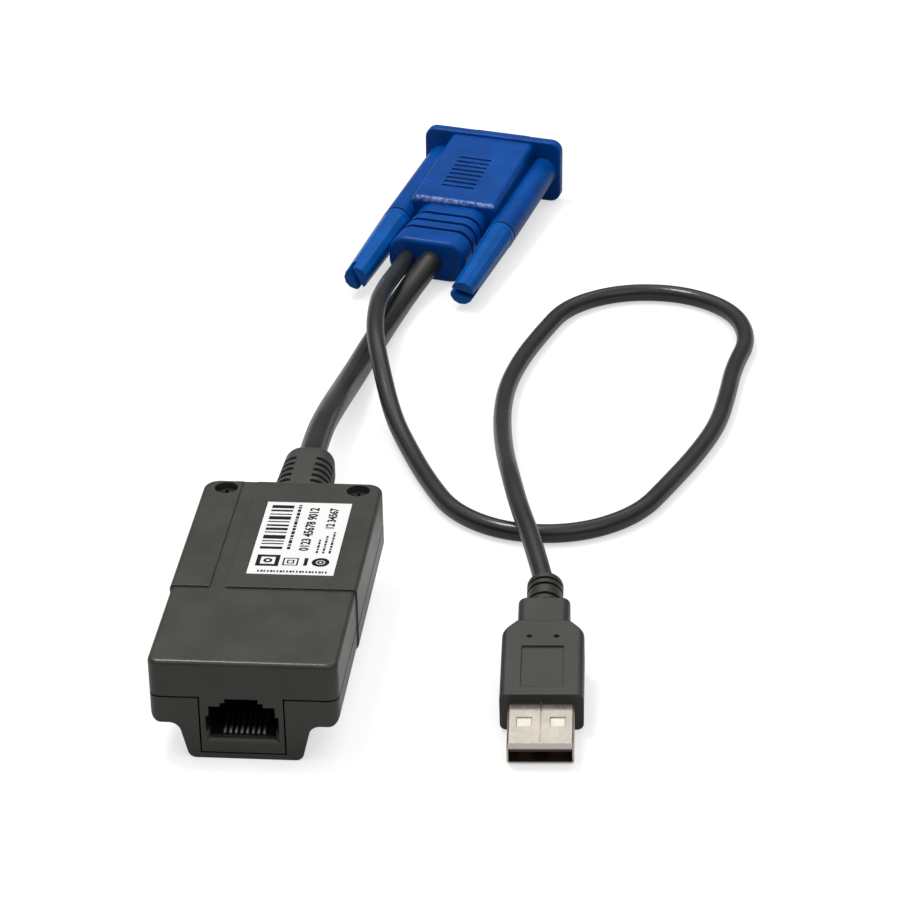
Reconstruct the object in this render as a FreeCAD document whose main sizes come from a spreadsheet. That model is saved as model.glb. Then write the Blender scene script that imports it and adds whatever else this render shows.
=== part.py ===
import FreeCAD, Part
import math
import os
import Sketcher
from FreeCAD import Placement, Rotation, Vector

# A KVM server dongle: a small plastic housing with a network socket at its front, and behind it
# a cable to a video plug, from whose hood a thinner cable runs round to a USB plug.
# Millimetres. x is across the housing, y runs from the socket to the cable, z is up, and z = 0
# is the table that the keel, the video plug and the USB plug stand on.

doc = FreeCAD.newDocument("ServerDongle")
sheet = doc.addObject("Spreadsheet::Sheet", "Spec")

SIZES = [
    # housing
    ("hou_width", 34.2, "front part of the housing, across"),
    ("hou_half", 34.35, "half of its length, front face to rear face"),
    ("part_z", 12.6, "parting line between shell and cover"),
    ("deck_z", 19.7, "top of the front part"),
    ("raise_z", 0.35, "rear part stands above the front part by this"),
    ("proud", 0.25, "rear part stands out at the sides and the rear by this"),
    ("step_y", -7.35, "front edge of the rear part"),
    ("wall", 1.6, "wall of both mouldings"),
    ("roof", 1.5, "thickness of the cover's top"),
    ("front_r", 2.2, "vertical corners at the front"),
    ("rear_r", 3.0, "vertical corners at the rear"),
    ("edge_r", 0.9, "rounding of the cover's top edges"),
    ("chan_x", -8.45, "middle of the shallow channel beside the label pad"),
    ("chan_w", 2.9, "its width"),
    ("reveal", 0.35, "height of the shadow line along the parting line"),
    ("reveal_in", 0.5, "its depth"),
    ("keel_out", 5.2, "keel from the housing's sides, where it meets the shoulder"),
    ("keel_lean", 1.7, "keel narrower at the table than there, on each side"),
    ("shoulder_z", 7.15, "underside of the shoulder"),
    ("keel_r", 2.2, "hollow rounding between keel and shoulder"),
    ("under", 0.2, "rear part stands lower than the front part's shoulder by this"),
    ("shoulder_r", 1.9, "rounding of the shoulder's lower edges"),
    ("keel_end", 20.0, "rear end of the keel's flat"),
    ("keel_rise", 28.0, "where its slope meets the shoulder"),
    ("keel_edge", 1.6, "rounding along the keel's lower edges"),
    ("keel_wall", 1.9, "walls of the keel at the table"),
    ("keel_floor", 1.2, "floor of the keel"),
    ("shelf", 1.4, "thickness of the shoulder's floor"),
    # network socket
    ("jack_x", -0.38, "middle of the socket"),
    ("panel_w", 15.0, "tab of the cover that carries the socket's opening"),
    ("panel_z", 1.3, "lower edge of that tab"),
    ("panel_gap", 0.3, "gap between tab and shell"),
    ("jack_half", 6.0, "half width of the opening"),
    ("jack_wide", 6.6, "half width of its guide grooves"),
    ("jack_bot", 3.95, "floor of the opening"),
    ("jack_g0", 5.6, "lower edge of the guide grooves"),
    ("jack_g1", 8.7, "upper edge of the guide grooves"),
    ("jack_top", 10.7, "top of the opening"),
    ("latch_half", 3.9, "half width of the latch notch"),
    ("latch_z", 11.5, "its shoulder"),
    ("latch_in", 3.0, "half width of its upper part"),
    ("latch_top", 12.3, "its top"),
    ("jack_w", 15.2, "jack body, across"),
    ("jack_l", 16.4, "jack body, front to rear"),
    ("jack_z", 2.2, "underside of the jack body"),
    ("jack_deep", 13.4, "depth of its cavity"),
    ("pin_pitch", 1.02, "spacing of the eight contact wires"),
    # board
    ("pcb_z", 14.0, "underside of the board"),
    ("pcb_t", 1.6, "its thickness"),
    ("pcb_side", 0.7, "gap between board and side walls"),
    ("pcb_front", 0.45, "gap between board and front wall"),
    ("pcb_rear", 1.0, "gap between board and screw bosses"),
    ("xtal_in", 5.8, "clock crystal from the board's side edge"),
    ("post_r", 1.4, "radius of the board's supports"),
    ("post_in", 1.6, "supports from the board's side edges"),
    ("post_f", 4.3, "front supports from the board's front edge"),
    ("post_b", 6.4, "rear supports from the board's rear edge"),
    ("head_w", 11.0, "cable header, across"),
    ("head_l", 4.4, "cable header, along"),
    ("head_z", 4.6, "cable header, height"),
    ("head_in", 1.8, "cable header from the board's rear edge"),
    # housing screws
    ("scr_side", 4.3, "screw axes from the housing's sides"),
    ("scr_back", 3.15, "screw axes from its rear"),
    ("boss_r", 2.8, "screw bosses"),
    ("scr_r", 1.1, "screw shank radius"),
    ("scr_clear", 0.05, "clearance round the shank"),
    ("head_r", 1.95, "screw head radius"),
    ("cbore_r", 2.25, "radius of the recess over each screw"),
    ("seat_z", 17.4, "face that the screw heads clamp"),
    ("head_h", 1.5, "height of the screw heads"),
    ("scr_end", 9.9, "lower end of the screws"),
    # label
    ("lab_x", 4.2, "middle of the label"),
    ("lab_y", 11.85, "middle of the label, along"),
    ("lab_w", 16.4, "label, across"),
    ("lab_l", 28.4, "label, along"),
    ("lab_t", 0.12, "thickness of the label"),
    ("lab_deep", 0.18, "depth of its recess"),
    # strain relief of the housing
    ("rel_z", 12.2, "axis of the strain relief"),
    ("rel_w", 11.6, "strain relief at the housing, across"),
    ("rel_w1", 9.8, "strain relief at its end, across"),
    ("rel_h", 9.4, "strain relief, height"),
    ("rel_r", 3.5, "rounding of its section"),
    ("rel_end", 57.3, "end face that the cable leaves"),
    ("rel_dome", 3.2, "rounding of its end"),
    ("rel_core", 3.3, "radius of the core between the slots"),
    ("slot_w", 1.15, "width of its slots"),
    ("slot_pitch", 2.35, "spacing of the slots"),
    ("slot_y", 38.8, "first slot"),
    ("slot_n", 6, "slots on each side"),
    ("slot_in", 2.0, "slots stop at this distance from the middle"),
    ("neck_w", 7.6, "neck through the rear wall, across"),
    ("neck_h", 5.4, "neck, height"),
    ("flan_w", 10.0, "inner flange, across"),
    ("flan_h", 6.6, "inner flange, height"),
    ("flan_t", 1.4, "inner flange, thickness"),
    # cables
    ("main_d", 5.4, "thick cable"),
    ("usb_d", 3.8, "thin cable"),
    # video plug, in its own frame: y = 0 is the rear face of the flange, the pins point to +y
    ("vga_x", 21.0, "place of the video plug"),
    ("vga_y", 221.3, "place of the video plug, along"),
    ("vga_yaw", -11.8, "turn about the vertical, degrees"),
    ("vga_tip", 2.95, "lift of the pins, degrees"),
    ("vga_roll", 1.9, "lean to its right, degrees"),
    ("fl_w", 33.6, "flange, across"),
    ("fl_h", 15.3, "flange, height"),
    ("fl_t", 2.6, "flange, thickness"),
    ("fl_r", 2.6, "flange corners"),
    ("blk_w", 20.4, "grip block, across"),
    ("blk_h", 13.8, "grip block at the flange, height"),
    ("blk_h1", 10.8, "grip block at its rear, height"),
    ("blk_l", 31.3, "grip block, length"),
    ("blk_r", 1.4, "grip block, edges"),
    ("bar_x", 12.5, "thumbscrew axes from the middle"),
    ("bar_r", 3.35, "barrels that guide the thumbscrews"),
    ("bar_l", 34.0, "their length"),
    ("bore_r", 1.55, "bore of the barrels"),
    ("grip_n", 8, "grip grooves"),
    ("grip_pitch", 1.97, "their spacing"),
    ("grip_w", 0.95, "width of a groove"),
    ("grip_deep", 0.45, "depth of a groove"),
    ("grip_y", -10.6, "first groove"),
    ("grip_x", -0.9, "middle of the grooves, across"),
    ("grip_l", 7.8, "length of a groove"),
    ("vrel_w0", 16.4, "strain relief at the block, across"),
    ("vrel_h", 8.2, "strain relief at the block, height"),
    ("vrel_h1", 10.2, "strain relief at its end, height"),
    ("vrel_w1", 18.2, "strain relief at its end, across"),
    ("vrel_r", 3.9, "strain relief, rounding of its section"),
    ("vrel_end", 51.4, "end face that the cables leave"),
    ("vrel_in", 1.1, "depth of its grooves"),
    ("vrel_gw", 1.3, "width of its grooves"),
    ("vrel_pitch", 4.1, "spacing of its grooves"),
    ("main_off", 1.2, "thick cable from the middle of the hood"),
    ("usb_off", -4.6, "thin cable from the middle of the hood"),
    ("plate_w", 31.0, "metal plate in the flange, across"),
    ("plate_h", 12.6, "metal plate, height"),
    ("plate_t", 0.8, "metal plate, thickness"),
    ("dsh_w", 16.8, "metal skirt, widest"),
    ("dsh_n", 13.9, "metal skirt, narrowest"),
    ("dsh_h", 8.3, "metal skirt, height"),
    ("dsh_c", 2.0, "its corners"),
    ("dsh_l", 6.8, "how far it stands out of the plate"),
    ("dsh_t", 0.45, "its sheet"),
    ("ins_t", 1.2, "insulator over the plate"),
    ("vpin_r", 0.5, "video pins"),
    ("vpin_l", 4.2, "their free length"),
    ("vpin_dx", 2.29, "their spacing in a row"),
    ("vpin_dz", 1.98, "spacing of the rows"),
    # thumbscrews, y as in the video plug
    ("knob_y0", -34.6, "front face of the knob"),
    ("knob_y1", -36.0, "end of its collar"),
    ("knob_y2", -64.2, "its free end"),
    ("knob_r0", 3.35, "radius at the collar"),
    ("knob_r1", 2.75, "radius at the free end"),
    ("knob_slot", 1.3, "width of the driver slot"),
    ("knob_deep", 3.2, "depth of the driver slot"),
    ("shank_r", 1.5, "shank of the thumbscrews"),
    ("shank_in", 12.0, "its length inside the knob"),
    ("thr_r", 1.42, "thread, outside radius"),
    ("thr_neck", 1.12, "relieved neck behind the thread, radius"),
    ("thr_l", 5.4, "length of the thread"),
    ("thr_end", 8.9, "tip of the thread"),
    ("turn_left", 62.0, "how far the left thumbscrew is turned, degrees"),
    ("turn_right", 12.0, "how far the right thumbscrew is turned, degrees"),
    # USB plug, in its own frame: y = 0 is the front of the moulding, the metal points to -y
    ("usb_x", 52.03, "place of the USB plug"),
    ("usb_y", -21.24, "place of the USB plug, along"),
    ("usb_yaw", 3.38, "turn about the vertical, degrees"),
    ("usb_tip", 6.07, "lift of the cable end, degrees"),
    ("om_w", 15.2, "moulding, across"),
    ("om_h", 7.95, "moulding, height"),
    ("om_l", 19.3, "moulding, its wide part"),
    ("om_sh", 22.7, "end of the shoulders"),
    ("om_neck", 9.7, "neck, across"),
    ("om_nend", 30.8, "end of the neck"),
    ("om_r", 1.3, "edges of the moulding"),
    ("fld_w", 7.7, "recessed field on the moulding, across"),
    ("fld_y0", 2.6, "front end of the field"),
    ("fld_y1", 14.9, "rear end of the field"),
    ("fld_deep", 0.35, "depth of the field"),
    ("dim_x", 2.5, "two dimples from the middle"),
    ("dim_y", 17.8, "dimples from the front of the moulding"),
    ("dim_r", 0.5, "radius and depth of the dimples"),
    ("ur_r", 3.45, "ringed relief"),
    ("ur_end", 38.9, "end face that the cable leaves"),
    ("ush_w", 12.0, "metal sleeve, across"),
    ("ush_h", 4.5, "metal sleeve, height"),
    ("ush_l", 12.0, "free length of the sleeve"),
    ("ush_in", 2.5, "its length inside the moulding"),
    ("ush_t", 0.32, "its sheet"),
    ("ush_r", 0.2, "its corners, inside"),
    ("win_w", 2.7, "windows, across"),
    ("win_l", 2.9, "windows, along"),
    ("win_x", 3.0, "windows from the middle"),
    ("win_y", -5.7, "middle of the windows"),
    ("ton_t", 1.9, "contact carrier, thickness"),
    ("ucon_t", 0.2, "contact strips, thickness"),
]

for row, (alias, value, note) in enumerate(SIZES, start=1):
    sheet.set(f"A{row}", alias)
    sheet.set(f"B{row}", str(value))
    sheet.setAlias(f"B{row}", alias)
    sheet.set(f"C{row}", note)
doc.recompute()
VALUE = {alias: value for alias, value, _ in SIZES}


class Size:
    """A length that carries both its number and the sheet expression behind it."""

    def __init__(self, text, value):
        self.text, self.value = text, float(value)

    def _join(self, sign, other, value):
        return Size(f"({self.text} {sign} {size(other).text})", value)

    def __add__(self, other):
        return self._join("+", other, self.value + size(other).value)

    def __sub__(self, other):
        return self._join("-", other, self.value - size(other).value)

    def __mul__(self, other):
        return self._join("*", other, self.value * size(other).value)

    def __truediv__(self, other):
        return self._join("/", other, self.value / size(other).value)

    def __neg__(self):
        return Size(f"(0 - {self.text})", -self.value)

    __radd__ = __add__

    def __rsub__(self, other):
        return size(other) - self


def size(value):
    """Turn an alias or a plain number into a Size."""
    if isinstance(value, Size):
        return value
    if isinstance(value, str):
        return Size("Spec." + value, VALUE[value])
    return Size(repr(float(value)), value)


def bind(thing, prop, value):
    """Set a property through the sheet."""
    thing.setExpression(prop, size(value).text)


class Profile:
    """A sketch on a base plane of its body, with every size tied to the sheet."""

    def __init__(self, body, name, plane, offset):
        self.sketch = body.newObject("Sketcher::SketchObject", name)
        base = [f for f in body.Origin.OriginFeatures if f.Role == plane][0]
        self.sketch.AttachmentSupport = [(base, "")]
        self.sketch.MapMode = "FlatFace"
        bind(self.sketch, "AttachmentOffset.Base.z", offset)

    def _tie(self, kind, args, value):
        value = size(value)
        number = self.sketch.addConstraint(Sketcher.Constraint(kind, *args, value.value))
        self.sketch.setExpression(f"Constraints[{number}]", value.text)

    def _pin(self, geo, pos, x, y):
        self._tie("DistanceX", (-1, 1, geo, pos), x)
        self._tie("DistanceY", (-1, 1, geo, pos), y)

    def poly(self, points):
        """A closed polygon through the given corners."""
        points = [(size(x), size(y)) for x, y in points]
        spots = [Vector(x.value, y.value, 0) for x, y in points]
        ends = spots[1:] + spots[:1]
        first = self.sketch.GeometryCount
        for a, b in zip(spots, ends):
            self.sketch.addGeometry(Part.LineSegment(a, b), False)
        for i, (x, y) in enumerate(points):
            before = first + (i - 1) % len(points)
            self.sketch.addConstraint(Sketcher.Constraint("Coincident", before, 2, first + i, 1))
            self._pin(first + i, 1, x, y)
        return self

    def rect(self, x0, x1, y0, y1):
        """A rectangle between two corners."""
        return self.poly([(x0, y0), (x1, y0), (x1, y1), (x0, y1)])

    def circle(self, x, y, radius):
        """A circle."""
        x, y, radius = size(x), size(y), size(radius)
        geo = self.sketch.addGeometry(
            Part.Circle(Vector(x.value, y.value, 0), Vector(0, 0, 1), radius.value), False)
        self._pin(geo, 3, x, y)
        self._tie("Radius", (geo,), radius)
        return self

    def round_rect(self, x, y, width, height, radius):
        """A rectangle with rounded corners about a middle point."""
        x, y, radius = size(x), size(y), size(radius)
        dx, dy = size(width) / 2 - radius, size(height) / 2 - radius
        arcs, lines = [], []
        up = Vector(0, 0, 1)
        corners = [(1, 1), (-1, 1), (-1, -1), (1, -1)]
        for n, (sx, sy) in enumerate(corners):
            mid = Vector(x.value + sx * dx.value, y.value + sy * dy.value, 0)
            ring = Part.Circle(mid, up, radius.value)
            arc = Part.ArcOfCircle(ring, n * math.pi / 2, (n + 1) * math.pi / 2)
            arcs.append(self.sketch.addGeometry(arc, False))
        for n in range(4):
            a = self.sketch.Geometry[arcs[n]].EndPoint
            b = self.sketch.Geometry[arcs[(n + 1) % 4]].StartPoint
            lines.append(self.sketch.addGeometry(Part.LineSegment(a, b), False))
        for n in range(4):
            self.sketch.addConstraint(Sketcher.Constraint("Tangent", arcs[n], 2, lines[n], 1))
            self.sketch.addConstraint(
                Sketcher.Constraint("Tangent", lines[n], 2, arcs[(n + 1) % 4], 1))
        for arc, (sx, sy) in zip(arcs, corners):
            self._pin(arc, 3, x + dx * sx, y + dy * sy)
            self._tie("Radius", (arc,), radius)
        return self


class Piece:
    """A PartDesign body with short names for the features that it is made of."""

    def __init__(self, name, frame=None):
        self.body = doc.addObject("PartDesign::Body", name)
        self.name, self.count = name, 0
        if frame is not None:
            self.body.Placement = frame

    def profile(self, plane, offset=0.0):
        self.count += 1
        return Profile(self.body, f"{self.name}_profile{self.count}", plane, offset)

    def _feature(self, kind, label, profile, length, midplane, reverse):
        self.count += 1
        item = self.body.newObject(kind, f"{self.name}_{label}{self.count}")
        item.Profile = profile.sketch
        if length is None:
            item.Type = 1
        else:
            bind(item, "Length", length)
        item.Midplane = midplane
        item.Reversed = reverse
        profile.sketch.Visibility = False
        doc.recompute()
        return item

    def pad(self, profile, length, midplane=False, reverse=False):
        return self._feature("PartDesign::Pad", "pad", profile, length, midplane, reverse)

    def pocket(self, profile, length=None, midplane=False, reverse=False):
        before = self.body.Shape.Volume
        item = self._feature("PartDesign::Pocket", "pocket", profile, length, midplane, reverse)
        removed = before - self.body.Shape.Volume
        if removed < 1e-4:
            raise RuntimeError(f"{item.Name} removes nothing")
        return item

    def loft(self, first, second):
        self.count += 1
        item = self.body.newObject("PartDesign::AdditiveLoft", f"{self.name}_loft{self.count}")
        item.Profile = first.sketch
        item.Sections = [second.sketch]
        item.Ruled = True
        doc.recompute()
        return item

    def revolve(self, profile, axis="V_Axis"):
        self.count += 1
        item = self.body.newObject("PartDesign::Revolution", f"{self.name}_turn{self.count}")
        item.Profile = profile.sketch
        item.ReferenceAxis = (profile.sketch, [axis])
        item.Angle = 360
        doc.recompute()
        return item

    def pattern(self, feature, sketch, axis, length, count, reverse=False):
        self.count += 1
        item = self.body.newObject("PartDesign::LinearPattern", f"{self.name}_row{self.count}")
        item.Originals = [feature]
        item.Direction = (sketch.sketch, [axis])
        item.Reversed = reverse
        bind(item, "Length", length)
        bind(item, "Occurrences", count)
        self.body.Tip = item
        doc.recompute()
        return item

    def dress(self, kind, amount, pick):
        """Round or bevel every edge that pick() accepts."""
        self.count += 1
        tip = self.body.Tip
        names = [f"Edge{n}" for n, e in enumerate(tip.Shape.Edges, start=1) if pick(e)]
        if not names:
            raise RuntimeError(f"{self.name}: no edge for its {kind}")
        item = self.body.newObject(f"PartDesign::{kind}", f"{self.name}_{kind}{self.count}")
        item.Base = (tip, names)
        bind(item, "Radius" if kind == "Fillet" else "Size", amount)
        doc.recompute()
        if item.Shape.isNull() or not item.Shape.isValid():
            raise RuntimeError(f"{item.Name} fails")
        return item

    def fillet(self, radius, pick):
        return self.dress("Fillet", radius, pick)

    def chamfer(self, amount, pick):
        return self.dress("Chamfer", amount, pick)


def near(a, b, tol=0.02):
    return abs(a - b) < tol


def ends(edge):
    return [v.Point for v in edge.Vertexes]


def level(edge, axis, value):
    """True where the whole edge lies at one height along an axis."""
    box = edge.BoundBox
    low, high = (box.XMin, box.YMin, box.ZMin)[axis], (box.XMax, box.YMax, box.ZMax)[axis]
    return near(low, value) and near(high, value)


def along(edge, axis, **where):
    """True for a straight edge parallel to an axis that passes through the given place."""
    if edge.Curve.TypeId != "Part::GeomLine" or len(edge.Vertexes) != 2:
        return False
    a, b = ends(edge)
    across = [k for k in range(3) if k != axis]
    if any(not near(a[k], b[k]) for k in across):
        return False
    mid = (a + b) / 2
    return all(near(abs(mid["xyz".index(k)]), abs(v), 0.05) for k, v in where.items())


HALF = size("hou_width") / 2
OUT = HALF + "proud"
LEN = size("hou_half")
KEEL_TOP = HALF - "keel_out"
KEEL_HALF = KEEL_TOP - "keel_lean"
KEEL_IN = KEEL_HALF - "keel_wall"
REAR = LEN + "proud"
TOP = size("deck_z") + "raise_z"
SCR_X = HALF - "scr_side"
SCR_Y = LEN - "scr_back"
PCB_HALF = HALF - "wall" - "pcb_side"
PCB_Y0 = -LEN + "wall" + "pcb_front"
PCB_Y1 = SCR_Y - "boss_r" - "pcb_rear"
POST_X = PCB_HALF - "post_in"
POST_YS = (PCB_Y0 + "post_f", PCB_Y1 - "post_b")


def taper(y0, y1, full0, full1):
    """Corners of a trapezium that narrows from one full width to another along y."""
    return [(y0, size(full0) / 2), (y0, -size(full0) / 2), (y1, -size(full1) / 2),
            (y1, size(full1) / 2)]


def lengthwise(edge, rear):
    """True for a straight edge that runs lengthwise and ends at the given place."""
    if edge.Curve.TypeId != "Part::GeomLine":
        return False
    low, high = sorted(point.y for point in ends(edge))
    return near(low, rear, 0.02) and high - low > 4.0


def moulding(piece, front, rear):
    """The outer block of shell or cover: the front part and the slightly larger rear part."""
    (z0, z1), (z2, z3) = front, rear
    piece.pad(piece.profile("XY_Plane", z0).rect(-HALF, HALF, -LEN, 0), size(z1) - z0)
    piece.pad(piece.profile("XY_Plane", z2).rect(-OUT, OUT, "step_y", REAR), size(z3) - z2)
    piece.fillet("front_r", lambda e: along(e, 2, x=HALF.value, y=LEN.value))
    piece.fillet("rear_r", lambda e: along(e, 2, x=OUT.value, y=REAR.value))


def socket_outline(profile, grow=0.0):
    """The stepped opening of the network socket, about its own middle."""
    mid = size("jack_x")
    half = [("jack_half", "jack_bot"), ("jack_half", "jack_g0"), ("jack_wide", "jack_g0"),
            ("jack_wide", "jack_g1"), ("jack_half", "jack_g1"), ("jack_half", "jack_top"),
            ("latch_half", "jack_top"), ("latch_half", "latch_z"), ("latch_in", "latch_z"),
            ("latch_in", "latch_top")]
    right = [(mid + size(x) + grow, z) for x, z in half]
    left = [(mid - size(x) - grow, z) for x, z in reversed(half)]
    return profile.poly(right + left)


# ---------------------------------------------------------------- cover, with the socket's tab
cover = Piece("top_cover")
moulding(cover, ("part_z", "deck_z"), ("part_z", TOP))
cover.fillet("edge_r", lambda e: level(e, 2, VALUE["deck_z"])
             and not near(e.BoundBox.YMin, VALUE["step_y"]))
cover.fillet("edge_r", lambda e: level(e, 2, TOP.value) and not level(e, 1, VALUE["step_y"]))
CHAN = size("chan_w") / 2
cover.pocket(cover.profile("XY_Plane", TOP).rect(
    size("chan_x") - CHAN, size("chan_x") + CHAN, size("step_y") - 1, REAR + 1), "raise_z")
cover.pocket(cover.profile("XY_Plane", size("deck_z") - "roof").rect(
    -HALF + "wall", HALF - "wall", -LEN + "wall", LEN - "wall"),
    size("deck_z") - "roof" - "part_z")
PANEL = size("panel_w") / 2
cover.pad(cover.profile("XY_Plane", "panel_z").rect(
    size("jack_x") - PANEL, size("jack_x") + PANEL, -LEN, -LEN + "wall"),
    size("part_z") + 1.5 - "panel_z")
cover.pocket(socket_outline(cover.profile("XZ_Plane", LEN)), "wall")
cover.chamfer(0.55, lambda e: level(e, 1, -LEN.value)
              and (level(e, 2, VALUE["jack_bot"])
                   or (near(e.BoundBox.ZMin, VALUE["jack_bot"])
                       and near(e.BoundBox.ZMax, VALUE["jack_g0"]))))
for side in (-1, 1):
    bossx = SCR_X * side
    cover.pad(cover.profile("XY_Plane", "part_z").circle(bossx, SCR_Y, "boss_r"),
              size("deck_z") - "roof" + 0.4 - "part_z")
    for post_y in POST_YS:
        cover.pad(cover.profile("XY_Plane", size("pcb_z") + "pcb_t").circle(
            POST_X * side, post_y, "post_r"),
            size("deck_z") - "roof" + 0.4 - "pcb_z" - "pcb_t")
holes = cover.profile("XY_Plane", TOP)
wells = cover.profile("XY_Plane", TOP)
for side in (-1, 1):
    holes.circle(SCR_X * side, SCR_Y, size("scr_r") + "scr_clear")
    wells.circle(SCR_X * side, SCR_Y, "cbore_r")
cover.pocket(holes)
cover.pocket(wells, TOP - "seat_z")
LABW, LABL = size("lab_w") / 2, size("lab_l") / 2
cover.pocket(cover.profile("XY_Plane", TOP).rect(
    size("lab_x") - LABW, size("lab_x") + LABW, size("lab_y") - LABL, size("lab_y") + LABL),
    "lab_deep")
NECK_FIT = 0.1
cover.pocket(cover.profile("XZ_Plane", -(LEN - "wall")).round_rect(
    0, "rel_z", size("neck_w") + 2 * NECK_FIT, size("neck_h") + 2 * NECK_FIT, 2.4),
    size("wall") + "proud")

# ---------------------------------------------------------------- shell, with its keel
shell = Piece("bottom_shell")
LIP = size("part_z") - "reveal"
UNDER = size("shoulder_z") - "under"
shell.pad(shell.profile("XZ_Plane", LEN).poly([
    (KEEL_HALF, 0.0), (KEEL_TOP, "shoulder_z"), (HALF, "shoulder_z"), (HALF, LIP), (-HALF, LIP),
    (-HALF, "shoulder_z"), (-KEEL_TOP, "shoulder_z"), (-KEEL_HALF, 0.0)]),
    LEN + "keel_rise", reverse=True)
shell.pocket(shell.profile("YZ_Plane").poly(
    [("keel_end", -1.0), ("keel_end", 0.0), ("keel_rise", "shoulder_z"),
     (size("keel_rise") + 1.0, "shoulder_z"), (size("keel_rise") + 1.0, -1.0)]), None, midplane=True)
shell.fillet("keel_r", lambda e: along(e, 1, x=KEEL_TOP.value, z=VALUE["shoulder_z"]))
shell.fillet("keel_edge", lambda e: along(e, 1, x=KEEL_HALF.value, z=0.0))
shell.fillet("shoulder_r", lambda e: along(e, 1, x=HALF.value, z=VALUE["shoulder_z"]))
rounder = shell.profile("XY_Plane", LIP + 1.0)
rounder.rect(-HALF - 2.0, HALF + 2.0, -LEN - 2.0, LEN + 2.0)
rounder.round_rect(0, 0, HALF * 2, LEN * 2, "front_r")
shell.pocket(rounder)
shell.pad(shell.profile("XY_Plane", UNDER).rect(-OUT, OUT, "step_y", REAR), LIP - UNDER)
shell.fillet("rear_r", lambda e: along(e, 2, x=OUT.value, y=REAR.value))
shell.fillet("shoulder_r", lambda e: level(e, 2, UNDER.value)
             and (near(abs(e.CenterOfMass.x), OUT.value) or near(e.BoundBox.YMax, REAR.value)))
shell.pad(shell.profile("XY_Plane", size(LIP) - 0.5).round_rect(
    0, 0, (HALF - "reveal_in") * 2, (LEN - "reveal_in") * 2, 2.3), size("reveal") + 0.5)
shell.pocket(shell.profile("XY_Plane", "part_z").rect(
    -HALF + "wall", HALF - "wall", -LEN + "wall", LEN - "wall"),
    size("part_z") - "shoulder_z" - "shelf")
shell.pocket(shell.profile("XY_Plane", size("shoulder_z") + "shelf").rect(
    -KEEL_IN, KEEL_IN, -LEN + "wall", size("keel_end") - 2.0),
    size("shoulder_z") + "shelf" - "keel_floor")
shell.pocket(shell.profile("XZ_Plane", LEN).rect(
    size("jack_x") - PANEL - "panel_gap", size("jack_x") + PANEL + "panel_gap",
    size("panel_z") - "panel_gap", size("part_z") + 1.0), size("wall") + 0.15)
SHELF = size("shoulder_z") + "shelf" - 0.4
for side in (-1, 1):
    bossx = SCR_X * side
    shell.pad(shell.profile("XY_Plane", SHELF).circle(bossx, SCR_Y, "boss_r"),
              size("part_z") - SHELF)
    for post_y in POST_YS:
        shell.pad(shell.profile("XY_Plane", SHELF).circle(
            POST_X * side, post_y, "post_r"), size("pcb_z") - SHELF)
pilots = shell.profile("XY_Plane", "part_z")
for side in (-1, 1):
    pilots.circle(SCR_X * side, SCR_Y, size("scr_r") + "scr_clear")
shell.pocket(pilots, size("part_z") - "scr_end" + 0.3)
shell.pocket(shell.profile("XZ_Plane", -(LEN - "wall")).round_rect(
    0, "rel_z", size("neck_w") + 2 * NECK_FIT, size("neck_h") + 2 * NECK_FIT, 2.4),
    size("wall") + "proud")

# ---------------------------------------------------------------- network jack inside the tab
JACK_Y = -LEN + "wall"
jack = Piece("network_jack")
JACKW = size("jack_w") / 2
jack.pad(jack.profile("XY_Plane", "jack_z").rect(
    size("jack_x") - JACKW, size("jack_x") + JACKW, JACK_Y, JACK_Y + "jack_l"),
    size("pcb_z") - "jack_z")
jack.pocket(socket_outline(jack.profile("XZ_Plane", -JACK_Y), 0.05), "jack_deep")


def box(name, x0, x1, y0, y1, z0, z1):
    """A Part box between two corners, tied to the sheet."""
    item = doc.addObject("Part::Box", name)
    for prop, value in (("Length", size(x1) - x0), ("Width", size(y1) - y0),
                        ("Height", size(z1) - z0)):
        bind(item, prop, value)
    for axis, value in zip("xyz", (x0, y0, z0)):
        bind(item, "Placement.Base." + axis, value)
    return item


def rod(name, x, y, z, radius, length, direction=Vector(0, 0, 1)):
    """A Part cylinder that starts at a point and runs along a direction."""
    item = doc.addObject("Part::Cylinder", name)
    bind(item, "Radius", radius)
    bind(item, "Height", length)
    item.Placement.Rotation = Rotation(Vector(0, 0, 1), direction)
    for axis, value in zip("xyz", (x, y, z)):
        bind(item, "Placement.Base." + axis, value)
    return item


def group(name, items, frame=None):
    """Several separate solids in one node."""
    item = doc.addObject("Part::Compound", name)
    item.Links = items
    if frame is not None:
        item.Placement = frame
    return item


def fuse(name, items, frame=None):
    item = doc.addObject("Part::MultiFuse", name)
    item.Shapes = items
    if frame is not None:
        item.Placement = frame
    return item


def cut(name, base, tool):
    item = doc.addObject("Part::Cut", name)
    item.Base, item.Tool = base, tool
    return item


WIRE_LIFT = 17.0
slope = Vector(0, math.cos(math.radians(WIRE_LIFT)), math.sin(math.radians(WIRE_LIFT)))
wires = [rod(f"contact_wire{n}", size("jack_x") + size("pin_pitch") * (n - 3.5),
             JACK_Y + 0.3, size("jack_bot") + 0.3, 0.23, 12.6, slope) for n in range(8)]
contacts = group("jack_contacts", wires)

# ---------------------------------------------------------------- board and what it carries
board = box("circuit_board", -PCB_HALF, PCB_HALF, PCB_Y0, PCB_Y1,
            "pcb_z", size("pcb_z") + "pcb_t")
UP = size("pcb_z") + "pcb_t"


def chip(name, x, y, width, length, height, above):
    """A packaged chip on the upper or the lower face of the board."""
    z0, z1 = (UP, UP + height) if above else (size("pcb_z") - height, size("pcb_z"))
    half_w, half_l = size(width) / 2, size(length) / 2
    return box(name, size(x) - half_w, size(x) + half_w, size(y) - half_l, size(y) + half_l,
               z0, z1)


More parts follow.
